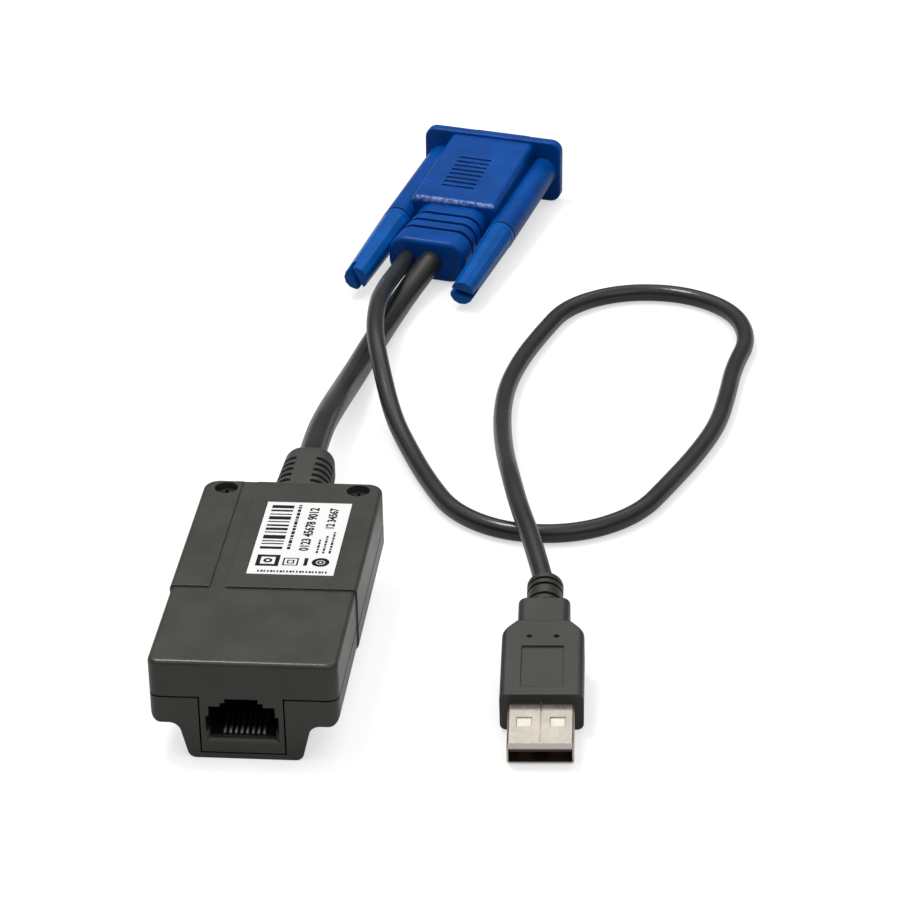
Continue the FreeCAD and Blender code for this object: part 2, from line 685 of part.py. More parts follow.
processor = chip("processor_chip", 1.0, 4.0, 14.0, 14.0, 1.2, True)
video = chip("video_chip", -4.0, -10.0, 10.0, 10.0, 1.1, True)
crystal = chip("clock_crystal", PCB_HALF - "xtal_in", -8.0, 3.2, 5.0, 1.3, True)
driver = chip("usb_chip", 6.0, 12.0, 5.0, 6.4, 1.1, False)
HEAD_Y1 = PCB_Y1 - "head_in"
header = chip("cable_header", 0.0, HEAD_Y1 - size("head_l") / 2, "head_w", "head_l", "head_z", False)
capacitors = group("capacitors", [
    rod(f"capacitor{n}", x, y, size("pcb_z") - 5.4, 2.5, 5.4)
    for n, (x, y) in enumerate([(-4.5, -8.0), (4.5, -8.0), (-4.5, 2.0)])])

FLAN_IN = LEN - "wall" - "flan_t"
cores = group("cable_cores", [
    rod(f"cable_core{n}", size(1.6) * (n - 2), HEAD_Y1, "rel_z", 0.55, FLAN_IN - HEAD_Y1,
        Vector(0, 1, 0)) for n in range(5)])


# ---------------------------------------------------------------- housing screws
def housing_screw(side):
    """A small pan-head screw with a cross recess."""
    x = SCR_X * side
    name = "left" if side < 0 else "right"
    shank = rod(f"{name}_shank", x, SCR_Y, "scr_end", "scr_r", size("seat_z") - "scr_end" + 0.2)
    head = rod(f"{name}_head", x, SCR_Y, "seat_z", "head_r", "head_h")
    solid = fuse(f"{name}_blank", [shank, head])
    z0 = size("seat_z") + "head_h" - 0.9
    bars = [box(f"{name}_bar{n}", x - a, x + a, SCR_Y - b, SCR_Y + b, z0, z0 + 2)
            for n, (a, b) in enumerate([(1.2, 0.27), (0.27, 1.2)])]
    return cut(f"{name}_screw", solid, fuse(f"{name}_cross", bars))


screws = group("housing_screws", [housing_screw(-1), housing_screw(1)])

label = box("label", size("lab_x") - LABW + 0.1, size("lab_x") + LABW - 0.1,
            size("lab_y") - LABL + 0.1, size("lab_y") + LABL - 0.1,
            TOP - "lab_deep", TOP - "lab_deep" + "lab_t")

# ---------------------------------------------------------------- strain relief of the housing
relief = Piece("strain_relief")
relief.pad(relief.profile("XY_Plane", "rel_z").poly([
    (x, y) for y, x in taper(REAR, "rel_end", "rel_w", "rel_w1")]), "rel_h", midplane=True)
relief.fillet("rel_r", lambda e: lengthwise(e, REAR.value))
relief.fillet("rel_dome", lambda e: level(e, 1, VALUE["rel_end"]))
comb = relief.profile("XY_Plane", "rel_z")
for side in (-1, 1):
    comb.rect(size("slot_in") * side, size(8.0) * side, size("slot_y") - size("slot_w") / 2,
              size("slot_y") + size("slot_w") / 2)
slots = relief.pocket(comb, None, midplane=True)
relief.pattern(slots, comb, "V_Axis", size("slot_pitch") * (size("slot_n") - 1), "slot_n")
relief.pad(relief.profile("XZ_Plane", -REAR).circle(0, "rel_z", "rel_core"),
           size("rel_end") - REAR, reverse=True)
relief.pad(relief.profile("XZ_Plane", -(LEN - "wall")).round_rect(
    0, "rel_z", "neck_w", "neck_h", 2.3), size("wall") + "proud" + 0.5, reverse=True)
relief.pad(relief.profile("XZ_Plane", -FLAN_IN).round_rect(0, "rel_z", "flan_w", "flan_h", 2.3),
           "flan_t", reverse=True)

# ---------------------------------------------------------------- video plug
VGA_TURN = Rotation(VALUE["vga_yaw"], VALUE["vga_roll"], VALUE["vga_tip"])
LEAN, LIFT = math.radians(VALUE["vga_roll"]), math.radians(VALUE["vga_tip"])
VGA_Z = ((VALUE["fl_w"] / 2 - VALUE["fl_r"]) * math.sin(LEAN) + VALUE["fl_r"] + 0.02
         + (VALUE["fl_h"] / 2 - VALUE["fl_r"]) * math.cos(LEAN) * math.cos(LIFT))
VGA = Placement(Vector(VALUE["vga_x"], VALUE["vga_y"], VGA_Z), VGA_TURN)

hood = Piece("video_hood", VGA)
hood.pad(hood.profile("XZ_Plane", -size("fl_t")).round_rect(0, 0, "fl_w", "fl_h", "fl_r"), "fl_t")
hood.fillet(0.5, lambda e: level(e, 1, 0.0) or level(e, 1, VALUE["fl_t"]))
hood.pad(hood.profile("YZ_Plane").poly(taper(0.5, -size("blk_l"), "blk_h", "blk_h1")),
         "blk_w", midplane=True)
hood.fillet("blk_r", lambda e: lengthwise(e, -VALUE["blk_l"]))
hood.pad(hood.profile("XY_Plane").poly([
    (x, y) for y, x in taper(-size("blk_l") + 2.0, -size("vrel_end"), "vrel_w0", "vrel_w1")]),
    "vrel_h1", midplane=True)
flare = hood.profile("YZ_Plane")
for face in (-1, 1):
    flare.poly([(-size("blk_l"), size("vrel_h") * (face / 2)), (-size("blk_l"), size(8.0) * face),
                (-size("vrel_end"), size(8.0) * face),
                (-size("vrel_end"), size("vrel_h1") * (face / 2))])
hood.pocket(flare, None, midplane=True)
hood.fillet("vrel_r", lambda e: lengthwise(e, -VALUE["vrel_end"]))
hood.fillet(1.1, lambda e: level(e, 1, -VALUE["vrel_end"]))
hood.fillet(1.2, lambda e: level(e, 1, -VALUE["blk_l"])
            and (abs(e.CenterOfMass.x) > (VALUE["blk_w"] + VALUE["vrel_w0"]) / 4
                 or abs(e.CenterOfMass.z) > (VALUE["blk_h1"] + VALUE["vrel_h"]) / 4))
ring = hood.profile("XZ_Plane", size("blk_l") + 4.2 + "vrel_gw")
ring.rect(-size("fl_w") / 2, size("fl_w") / 2, -size("fl_h"), "fl_h")
ring.round_rect(0, 0, size("vrel_w0") - size("vrel_in") * 2, size("vrel_h") - size("vrel_in") * 1.4,
                3.1)
rings = hood.pocket(ring, "vrel_gw")
ring_row = hood.pattern(rings, ring, "N_Axis", size("vrel_pitch") * 2, 3)
for side in (-1, 1):
    hood.pad(hood.profile("XZ_Plane", -0.5).circle(size("bar_x") * side, 0, "bar_r"),
             size("bar_l") + 0.5)
bores = hood.profile("XZ_Plane", "bar_l")
for side in (-1, 1):
    bores.circle(size("bar_x") * side, 0, "bore_r")
hood.pocket(bores, size("bar_l") + "fl_t" + 1.0)
hood.pocket(hood.profile("XZ_Plane", -(size("fl_t") - "plate_t")).round_rect(
    0, 0, size("plate_w") + 0.1, size("plate_h") + 0.1, 1.6), "plate_t")
groove = hood.profile("XY_Plane", size("blk_h") / 2)
fall = math.degrees(math.atan((VALUE["blk_h"] - VALUE["blk_h1"]) / 2 / VALUE["blk_l"]))
groove.sketch.AttachmentOffset = Placement(
    Vector(0, 0, VALUE["blk_h"] / 2), Rotation(Vector(1, 0, 0), fall))
groove.rect(size("grip_x") - size("grip_l") / 2, size("grip_x") + size("grip_l") / 2,
            size("grip_y") - size("grip_w") / 2, size("grip_y") + size("grip_w") / 2)
first_groove = hood.pocket(groove, "grip_deep")
hood.pattern(first_groove, groove, "V_Axis", size("grip_pitch") * 7, "grip_n", reverse=True)


def d_outline(profile, inset):
    """The tapered outline of a video connector, its wide side up, with cut corners."""
    wide, narrow = size("dsh_w") / 2 - inset, size("dsh_n") / 2 - inset
    half, corner = size("dsh_h") / 2 - inset, size("dsh_c") - inset / 2
    inner, outer = corner * 0.3, corner
    right = [(narrow - outer, -half), (narrow - inner, -half + inner), (narrow + 0.2, -half + outer),
             (wide - 0.2, half - outer), (wide - inner, half - inner), (wide - outer, half)]
    left = [(-x, z) for x, z in reversed(right)]
    return profile.poly(right + left)


skirt = Piece("video_shell", VGA)
skirt.pad(skirt.profile("XZ_Plane", -size("fl_t")).round_rect(
    0, 0, "plate_w", "plate_h", 1.5), "plate_t")
skirt.pad(d_outline(skirt.profile("XZ_Plane", -(size("fl_t") + "dsh_l")), 0.0), "dsh_l")
skirt.pocket(d_outline(skirt.profile("XZ_Plane", -size("fl_t")), size("dsh_t")), "dsh_l")
for n in (-1, 0, 1):
    skirt.pad(skirt.profile("XY_Plane", size("dsh_h") / 2 - 0.1).circle(
        size(4.0) * n, size("fl_t") + 3.4, 0.75), 0.3)
eyes = skirt.profile("XZ_Plane", -(size("fl_t") - "plate_t"))
for side in (-1, 1):
    eyes.circle(size("bar_x") * side, 0, size("bore_r") + 0.05)
skirt.pocket(eyes, "plate_t")

insulator = Piece("video_insulator", VGA)
insulator.pad(d_outline(insulator.profile("XZ_Plane", -(size("fl_t") + "ins_t")),
                        size("dsh_t") + 0.05), "ins_t")
pins = []
for row, (count, shift) in enumerate([(5, 0.0), (5, -0.5), (5, 0.0)]):
    for n in range(count):
        pins.append(rod(f"video_pin{row}_{n}", size("vpin_dx") * (n - 2 + shift + 0.25),
                        size("fl_t") + "ins_t", size("vpin_dz") * (1 - row), "vpin_r",
                        "vpin_l", Vector(0, 1, 0)))
video_pins = group("video_pins", pins, VGA)


def plug_place(side, turn):
    """A thumbscrew's place in the video plug, turned about its own axis."""
    there = VGA.multVec(Vector(side * VALUE["bar_x"], 0, 0))
    return Placement(there, VGA_TURN.multiply(Rotation(Vector(0, 1, 0), turn)))


def regular(profile, radius, count):
    """A regular polygon."""
    return profile.poly([(size(radius) * math.cos(2 * math.pi * n / count),
                          size(radius) * math.sin(2 * math.pi * n / count))
                         for n in range(count)])


def thumbscrew(word, side, turn):
    """A plastic knob and the metal screw that it is moulded on."""
    place = plug_place(side, turn)
    knob = Piece(f"thumbscrew_knob_{word}", place)
    knob.pad(knob.profile("XZ_Plane", -size("knob_y0")).circle(0, 0, "knob_r0"),
             size("knob_y0") - "knob_y1")
    knob.loft(regular(knob.profile("XZ_Plane", -size("knob_y1")), "knob_r0", 12),
              regular(knob.profile("XZ_Plane", -size("knob_y2")), "knob_r1", 12))
    knob.pocket(knob.profile("XZ_Plane", -size("knob_y2")).rect(
        -4.0, 4.0, -size("knob_slot") / 2, size("knob_slot") / 2), "knob_deep")
    knob.pocket(knob.profile("XZ_Plane", -(size("knob_y0") - "shank_in")).circle(
        0, 0, "shank_r"), "shank_in")
    screw = Piece(f"thumbscrew_screw_{word}", place)
    tip = size("thr_end")
    start = tip - "thr_l"
    points = [(0.0, size("knob_y0") - "shank_in"), ("shank_r", size("knob_y0") - "shank_in"),
              ("shank_r", start - 0.8), ("thr_neck", start - 0.4), ("thr_neck", start),
              ("thr_r", start + 0.3), ("thr_r", tip - 0.5), ("thr_neck", tip - 0.2),
              (size("thr_neck") - 0.2, tip), (0.0, tip)]
    screw.revolve(screw.profile("XY_Plane").poly(points))
    return knob, screw


knob_left, screw_left = thumbscrew("left", -1, VALUE["turn_left"])
knob_right, screw_right = thumbscrew("right", 1, VALUE["turn_right"])

# ---------------------------------------------------------------- USB plug
USB_TURN = Rotation(VALUE["usb_yaw"], 0, VALUE["usb_tip"])
USB = Placement(Vector(VALUE["usb_x"], VALUE["usb_y"], 0), USB_TURN)
OMW, OMH = size("om_w") / 2, size("om_h")
MID = OMH / 2

plug = Piece("usb_moulding", USB)
plug.pad(plug.profile("XY_Plane").poly([
    (-OMW, 0), (OMW, 0), (OMW, "om_l"), (size("om_neck") / 2, "om_sh"),
    (-size("om_neck") / 2, "om_sh"), (-OMW, "om_l")]), OMH)
plug.fillet("om_r", lambda e: (along(e, 1, x=OMW.value) or along(e, 2, x=OMW.value,
                                                               y=VALUE["om_l"])))
plug.pad(plug.profile("XZ_Plane", -(size("om_sh") - 2.0)).round_rect(
    0, MID, "om_neck", size("om_h") - 1.3, 1.6), size("om_nend") - "om_sh" + 2.0, reverse=True)
plug.pad(plug.profile("XZ_Plane", -(size("om_nend") - 1.0)).circle(0, MID, size("ur_r") - 0.75),
         size("ur_end") - "om_nend" + 1.0, reverse=True)
for start, length in ((0.0, 1.2), (2.0, 2.4), (5.2, 1.0), (6.9, 1.2)):
    plug.pad(plug.profile("XZ_Plane", -(size("om_nend") + start)).circle(0, MID, "ur_r"),
             length, reverse=True)
plug.pocket(plug.profile("XZ_Plane").round_rect(
    0, MID, "ush_w", "ush_h", size("ush_r") + "ush_t"), "ush_in")
plug.pocket(plug.profile("XY_Plane", OMH).rect(
    -size("fld_w") / 2, size("fld_w") / 2, "fld_y0", "fld_y1"), "fld_deep")
dimples = plug.profile("XY_Plane", OMH)
for side in (-1, 1):
    dimples.circle(size("dim_x") * side, "dim_y", "dim_r")
plug.pocket(dimples, "dim_r")

sleeve = Piece("usb_shell", USB)
sleeve.pad(sleeve.profile("XZ_Plane", -size("ush_in")).round_rect(
    0, MID, "ush_w", "ush_h", size("ush_r") + "ush_t"), size("ush_l") + "ush_in")
sleeve.pocket(sleeve.profile("XZ_Plane", "ush_l").round_rect(
    0, MID, size("ush_w") - size("ush_t") * 2, size("ush_h") - size("ush_t") * 2, "ush_r"),
    size("ush_l") + "ush_in" - 0.4)
for face in (-1, 1):
    windows = sleeve.profile("XY_Plane", MID + size("ush_h") * (face / 2))
    for side in (-1, 1):
        middle = size("win_x") * side
        windows.rect(middle - size("win_w") / 2, middle + size("win_w") / 2,
                     size("win_y") - size("win_l") / 2, size("win_y") + size("win_l") / 2)
    sleeve.pocket(windows, "ush_t", reverse=face < 0)
sleeve.pocket(sleeve.profile("XY_Plane", MID + size("ush_h") / 2).rect(
    -0.1, 0.1, -size("ush_l"), 0.0), 0.2)

INNER = size("ush_w") / 2 - "ush_t"
CEIL = MID + size("ush_h") / 2 - "ush_t"
carrier = box("usb_carrier", -INNER + "ush_r", INNER - "ush_r", -size("ush_l") + 0.4,
              size("ush_in") - 0.4, CEIL - "ton_t", CEIL)
carrier_node = group("usb_carrier_place", [carrier], USB)
strips = []
for n, (x, length) in enumerate([(-3.5, 8.6), (-1.0, 7.6), (1.0, 7.6), (3.5, 8.6)]):
    strips.append(box(f"usb_strip{n}", size(x) - 0.5, size(x) + 0.5, -size("ush_l") + 1.2,
                      -size("ush_l") + 1.2 + length, CEIL - "ton_t" - "ucon_t", CEIL - "ton_t"))
usb_contacts = group("usb_contacts", strips, USB)

# ---------------------------------------------------------------- cables
HOOD_END = Vector(0, -VALUE["vrel_end"], 0)
main_exit = VGA.multVec(HOOD_END + Vector(VALUE["main_off"], 0, 0))
usb_exit = VGA.multVec(HOOD_END + Vector(VALUE["usb_off"], 0, 0))
plug_exit = USB.multVec(Vector(0, VALUE["ur_end"], VALUE["om_h"] / 2))

MAIN_ROUTE = [
    Vector(-0.5, VALUE["rel_end"], VALUE["rel_z"]),
    Vector(-0.9, 72.8, 11.0), Vector(-0.5, 88.6, 8.4), Vector(0.1, 103.0, 5.6),
    Vector(1.2, 117.4, 3.6), Vector(2.8, 132.0, 2.8), Vector(5.1, 146.5, 2.85),
    Vector(8.1, 161.1, 3.5), main_exit]

USB_ROUTE = [
    usb_exit,
    Vector(4.8, 162.2, 6.6), Vector(3.9, 148.7, 9.2), Vector(3.7, 134.9, 11.4),
    Vector(4.8, 120.9, 11.4), Vector(7.5, 109.0, 8.9), Vector(11.6, 94.9, 4.0),
    Vector(16.5, 82.9, 2.3), Vector(21.6, 70.3, 1.95), Vector(28.1, 57.0, 1.95),
    Vector(39.6, 49.1, 1.95), Vector(53.7, 49.5, 1.95), Vector(65.0, 58.1, 1.95),
    Vector(70.6, 72.0, 1.95), Vector(75.5, 85.2, 1.95), Vector(79.3, 98.7, 1.95),
    Vector(80.8, 112.5, 1.95), Vector(81.7, 126.4, 1.95), Vector(84.6, 140.6, 1.95),
    Vector(80.9, 154.7, 1.95), Vector(69.7, 163.6, 1.95), Vector(55.3, 164.0, 1.95),
    Vector(43.6, 155.6, 1.95), Vector(39.1, 141.3, 1.95), Vector(35.7, 128.0, 2.0),
    Vector(33.9, 114.1, 2.4), Vector(34.1, 100.2, 3.4), Vector(35.4, 86.4, 4.9),
    Vector(37.2, 73.0, 7.0), Vector(39.5, 59.4, 9.4), Vector(42.4, 45.6, 9.7),
    Vector(46.2, 32.3, 9.3), plug_exit]


def tube(name, route, diameter):
    """A round cable along straight runs that tangent arcs join."""
    least, start, path = None, route[0], []
    for before, here, after in zip(route, route[1:], route[2:]):
        back, ahead = (before - here).normalize(), (after - here).normalize()
        turn = math.pi - back.getAngle(ahead)
        reach = 0.45 * min((before - here).Length, (after - here).Length)
        radius = reach / math.tan(turn / 2)
        least = radius if least is None else min(least, radius)
        first, last = here + back * reach, here + ahead * reach
        middle = here + (back + ahead).normalize() * (radius / math.cos(turn / 2) - radius)
        path += [Part.LineSegment(start, first), Part.Arc(first, middle, last)]
        start = last
    path.append(Part.LineSegment(start, route[-1]))
    wire = Part.Wire([piece.toShape() for piece in path])
    section = Part.Wire([Part.Circle(route[0], route[1] - route[0], diameter / 2).toShape()])
    solid = wire.makePipeShell([section], True, False)
    item = doc.addObject("Part::Feature", name)
    item.Shape = solid
    expected = math.pi * diameter ** 2 / 4 * wire.Length
    print(f"{name}: length {wire.Length:.1f}, smallest radius {least:.1f} "
          f"({least / diameter:.1f} diameters), volume ratio {solid.Volume / expected:.4f}")
    return item


main_cable = tube("main_cable", MAIN_ROUTE, VALUE["main_d"])
usb_cable = tube("usb_cable", USB_ROUTE, VALUE["usb_d"])

# ---------------------------------------------------------------- check and write
NODES = {
    "top_cover": cover.body, "bottom_shell": shell.body, "network_jack": jack.body,
    "jack_contacts": contacts, "circuit_board": board, "processor_chip": processor,
    "video_chip": video, "clock_crystal": crystal, "usb_chip": driver, "cable_header": header,
    "capacitors": capacitors, "cable_cores": cores, "housing_screws": screws, "label": label,
    "strain_relief": relief.body, "main_cable": main_cable, "video_hood": hood.body,
    "video_shell": skirt.body, "video_insulator": insulator.body, "video_pins": video_pins,
    "thumbscrew_knob_left": knob_left.body, "thumbscrew_knob_right": knob_right.body,
    "thumbscrew_screw_left": screw_left.body, "thumbscrew_screw_right": screw_right.body,
    "usb_cable": usb_cable, "usb_moulding": plug.body, "usb_shell": sleeve.body,
    "usb_carrier": carrier_node, "usb_contacts": usb_contacts,
}

doc.recompute()
for item in doc.Objects:
    if {"Invalid", "Error"} & set(item.State):
        raise RuntimeError(f"{item.Name} is {item.State}")
os.makedirs("parts", exist_ok=True)
for node, item in NODES.items():
    shape = item.Shape
    if shape.isNull() or not shape.isValid() or shape.Volume <= 0:
        raise RuntimeError(f"{node} has no valid solid")
    shape.exportStep(f"parts/{node}.step")
    box_ = shape.BoundBox
    print(f"{node}: solids {len(shape.Solids)} volume {shape.Volume:.1f} "
          f"x {box_.XMin:.2f}..{box_.XMax:.2f} y {box_.YMin:.2f}..{box_.YMax:.2f} "
          f"z {box_.ZMin:.2f}..{box_.ZMax:.2f}")
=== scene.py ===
"""Looks of a KVM server dongle: a plastic module, its two cables, a video plug and a USB plug.

Everything is in metres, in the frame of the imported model: x across the housing, y from the
network socket to the cables, z up from the table.
"""

import logging
import math
from dataclasses import dataclass, field
from enum import Enum
from typing import Any, Sequence

import bpy
from mathutils import Matrix, Vector


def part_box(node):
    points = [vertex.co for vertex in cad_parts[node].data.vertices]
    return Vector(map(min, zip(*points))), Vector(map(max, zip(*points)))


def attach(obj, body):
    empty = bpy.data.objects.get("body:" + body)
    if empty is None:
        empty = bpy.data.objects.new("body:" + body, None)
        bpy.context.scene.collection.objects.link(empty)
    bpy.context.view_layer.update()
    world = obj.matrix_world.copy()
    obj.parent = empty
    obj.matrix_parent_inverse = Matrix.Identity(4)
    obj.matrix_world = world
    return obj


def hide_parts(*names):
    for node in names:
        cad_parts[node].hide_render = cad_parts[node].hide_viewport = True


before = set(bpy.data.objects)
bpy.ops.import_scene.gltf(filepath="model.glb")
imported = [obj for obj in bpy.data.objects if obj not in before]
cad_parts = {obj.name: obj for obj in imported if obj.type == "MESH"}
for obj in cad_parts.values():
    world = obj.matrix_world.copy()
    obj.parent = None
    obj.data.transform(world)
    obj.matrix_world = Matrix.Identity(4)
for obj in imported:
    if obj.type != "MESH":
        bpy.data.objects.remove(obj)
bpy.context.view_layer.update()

MM = 0.001
MM_PER_METRE = 1000.0
UP = (0.0, 0.0, 1.0)
WHITE = (1.0, 1.0, 1.0)
Colour = tuple[float, float, float]
Point = tuple[float, float, float]
log = logging.getLogger("dongle")


# ------------------------------------------------------------------------------ shader maths
class Signal:
    """The output of a shader node, on which arithmetic adds Math nodes."""

    def __init__(self, net: "Network", socket: bpy.types.NodeSocket) -> None:
        """Keeps the network and the socket that the value comes from."""
        self.net = net
        self.socket = socket

    def math(self, operation: str, *others: "Signal | float") -> "Signal":
        """One Math node on this value, with the others as its second and third values."""
        values = {n: v for n, v in enumerate((self, *others))}
        return self.net.add("ShaderNodeMath", {"operation": operation}, values)

    def __add__(self, other: "Signal | float") -> "Signal":
        """Sum."""
        return self.math("ADD", other)

    def __sub__(self, other: "Signal | float") -> "Signal":
        """Difference."""
        return self.math("SUBTRACT", other)

    def __mul__(self, other: "Signal | float") -> "Signal":
        """Product."""
        return self.math("MULTIPLY", other)

    def __rsub__(self, other: float) -> "Signal":
        """A number less this value."""
        return self.net.add("ShaderNodeMath", {"operation": "SUBTRACT"}, {0: other, 1: self})

    __radd__ = __add__
    __rmul__ = __mul__

    def between(self, low: float, high: float, start: float = 0.0,
                end: float = 1.0) -> "Signal":
        """A smooth rise with this value.

        Args:
            low: the value up to which the result is start.
            high: the value from which the result is end.
            start: result at the low end.
            end: result at the high end.

        Returns:
            The result.
        """
        return self.net.add("ShaderNodeMapRange", {"interpolation_type": "SMOOTHSTEP"},
                            {"Value": self, "From Min": low, "From Max": high,
                             "To Min": start, "To Max": end})


class Network:
    """The nodes of one material or of the world."""

    def __init__(self, owner: bpy.types.Material | bpy.types.World) -> None:
        """Empties the owner's nodes.

        Args:
            owner: the material or the world.
        """
        self.owner = owner
        owner.use_nodes = True
        self.tree = owner.node_tree
        self.tree.nodes.clear()

    def node(self, kind: str, settings: dict[str, Any] | None = None,
             values: dict[str | int, Any] | None = None) -> bpy.types.Node:
        """Adds one node.

        Args:
            kind: its Blender type.
            settings: its properties, set first.
            values: numbers, colours or signals for its inputs, by name or by index.

        Returns:
            The new node.
        """
        node = self.tree.nodes.new(kind)
        for key, value in (settings or {}).items():
            setattr(node, key, value)
        for key, value in (values or {}).items():
            if isinstance(value, Signal):
                self.tree.links.new(value.socket, node.inputs[key])
            else:
                node.inputs[key].default_value = value
        return node

    def add(self, kind: str, settings: dict[str, Any] | None = None,
            values: dict[str | int, Any] | None = None, out: str | int = 0) -> Signal:
        """Adds one node, as node() does, and returns one of its outputs."""
        return Signal(self, self.node(kind, settings, values).outputs[out])

    def place(self, stretch: Point = (1.0, 1.0, 1.0)) -> Signal:
        """Position on the piece in millimetres, stretched along its axes."""
        spot = self.add("ShaderNodeTexCoord", out="Object")
        return self.add("ShaderNodeVectorMath", {"operation": "MULTIPLY"},
                        {0: spot, 1: tuple(MM_PER_METRE * s for s in stretch)})

    def dot(self, a: Signal, b: Signal | Point) -> Signal:
        """Dot product of two vectors."""
        return self.add("ShaderNodeVectorMath", {"operation": "DOT_PRODUCT"}, {0: a, 1: b},
                        out="Value")

    def noise(self, size: float, detail: float = 2.0, rough: float = 0.5,
              stretch: Point = (1.0, 1.0, 1.0)) -> Signal:
        """Noise from 0 to 1.

        Args:
            size: about how wide its patches are, in millimetres.
            detail: how many finer layers it has.
            rough: how strong those are.
            stretch: stretch of its place along each axis.

        Returns:
            The noise.
        """
        return self.add("ShaderNodeTexNoise", None,
                        {"Vector": self.place(stretch), "Scale": 1.0 / size, "Detail": detail,
                         "Roughness": rough})

    def mix(self, share: Signal | float, a: Any, b: Any) -> Signal:
        """A colour from a, where share is 0, to b, where it is 1."""
        a, b = (v if isinstance(v, Signal) else (*v, 1.0) for v in (a, b))
        return self.add("ShaderNodeMix", {"data_type": "RGBA"}, {0: share, 6: a, 7: b}, out=2)

    def rounded(self, radius: float) -> Signal:
        """The normal as if every edge were rounded by radius millimetres."""
        return self.add("ShaderNodeBevel", {"samples": 6}, {"Radius": radius * MM})

    def edges(self, radius: float) -> Signal:
        """Finds the edges.

        Args:
            radius: how far from an edge they reach, in millimetres.

        Returns:
            0 on flat faces, rising to 1 at an edge.
        """
        soft = self.rounded(radius)
        plain = self.add("ShaderNodeNewGeometry", out="Normal")
        return (1.0 - self.dot(soft, plain)).between(0.01, 0.16)

    def bump(self, height: Signal, depth: float, normal: Signal | None = None,
             strength: float = 1.0) -> Signal:
        """A normal that follows a relief.

        Args:
            height: height of the relief from 0 to 1.
            depth: its whole range in millimetres.
            normal: the normal that it starts from, the face's own by default.
            strength: share of the relief that shows.

        Returns:
            The normal.
        """
        values = {"Height": height, "Distance": depth * MM, "Strength": strength}
        if normal is not None:
            values["Normal"] = normal
        return self.add("ShaderNodeBump", None, values)

    def finish(self, **values: Any) -> bpy.types.Material:
        """Closes the network with a Principled shader.

        Args:
            values: its inputs, with underscores for spaces.

        Returns:
            The material.
        """
        named = {key.replace("_", " "): (*v, 1.0) if isinstance(v, tuple) and len(v) == 3 else v
                 for key, v in values.items()}
        shader = self.add("ShaderNodeBsdfPrincipled", None, named)
        self.node("ShaderNodeOutputMaterial", None, {"Surface": shader})
        return self.owner


def material_network(name: str) -> Network:
    """An empty network for a new material of that name."""
    return Network(bpy.data.materials.new(name))


def shades(colour: Colour, spread: float) -> tuple[Colour, Colour]:
    """A darker and a lighter shade of a colour, each away from it by that share."""
    return (tuple(c * (1.0 - spread) for c in colour),
            tuple(min(1.0, c * (1.0 + spread)) for c in colour))


# ------------------------------------------------------------------------------ finishes
@dataclass(frozen=True)
class ScuffAndHighlight:
    """A line of pale scratches that also serves as a painted highlight along an edge.

    Attributes:
        axis: direction across the line.
        place: where the line lies along that direction, in millimetres.
        height: middle of the height over which it comes in, in millimetres.
        colour: colour of the scratches and of the painted highlight.
        share: how much of that colour they take.
        core: half of the width over which they are strongest, in millimetres.
        reach: half of the width beyond which there are none, in millimetres.
        fade: half of the height over which they come in, in millimetres.
    """

    axis: Point
    place: float
    height: float
    # pale blue: scratches and a painted highlight on the lit edge
    colour: Colour = (0.36, 0.44, 0.78)
    share: float = 0.6
    core: float = 0.25
    reach: float = 0.75
    fade: float = 0.3

    def strength(self, net: Network) -> Signal:
        """How much of their colour the scratches and the painted highlight take.

        Args:
            net: network of the material.

        Returns:
            0 away from the line and up to the share on it, broken up into scratches.
        """
        across = net.dot(net.place(), self.axis) - self.place
        line = 1.0 - across.math("ABSOLUTE").between(self.core, self.reach)
        rise = net.dot(net.place(), UP).between(self.height - self.fade,
                                                self.height + self.fade)
        gaps = net.noise(size=1.1, detail=4.0, rough=0.75).between(0.4, 0.62)
        return line * rise * gaps * self.share


@dataclass(frozen=True)
class MouldedPlastic:
    """Injection moulded plastic with a spark-eroded grain and edges rubbed by handling.

    Attributes:
        name: name of the material.
        colour: colour of the plastic.
        rough: its roughness on flat faces.
        grain: size of the grain in millimetres.
        depth: depth of the grain in millimetres.
        edge: rounding of its edges in millimetres.
        rubbed: colour where hands have polished the edges.
        specular: strength of its gloss.
        scuff_and_highlight: a line of scratches and painted highlight, where it has one.
        uneven: how much its colour wanders, as a share.
        wear: how much of the rubbed colour its edges take.
    """

    name: str
    colour: Colour
    rough: float
    grain: float = 0.16
    depth: float = 0.006
    edge: float = 0.18
    rubbed: Colour = (0.11, 0.11, 0.1)
    specular: float = 0.5
    scuff_and_highlight: ScuffAndHighlight | None = None
    uneven: float = 0.14
    wear: float = 0.35

    def material(self) -> bpy.types.Material:
        """Builds the material.

        Returns:
            The material.
        """
        net = material_network(self.name)
        cloud = net.noise(size=9.0, detail=3.0, rough=0.6)
        speck = net.noise(size=self.grain, detail=2.0, rough=0.7)
        grime = net.noise(size=2.2, detail=4.0, rough=0.7)
        worn = net.edges(self.edge * 1.6) * grime.between(0.35, 0.7)
        deeper, lighter = shades(self.colour, self.uneven)
        body = net.mix(cloud.between(0.3, 0.7), deeper, lighter)
        body = net.mix(speck.between(0.55, 0.8) * 0.25, body, lighter)
        body = net.mix(worn * self.wear, body, self.rubbed)
        # painted highlight, broken up into scratches, along one edge
        if self.scuff_and_highlight:
            body = net.mix(self.scuff_and_highlight.strength(net), body, self.scuff_and_highlight.colour)
        rough = self.rough + (cloud - 0.5) * 0.1 + (grime - 0.5) * 0.07 - worn * 0.1
        normal = net.bump(speck, self.depth, net.rounded(self.edge))
        return net.finish(Base_Color=body, Roughness=rough, Normal=normal,
                          Specular_IOR_Level=self.specular)


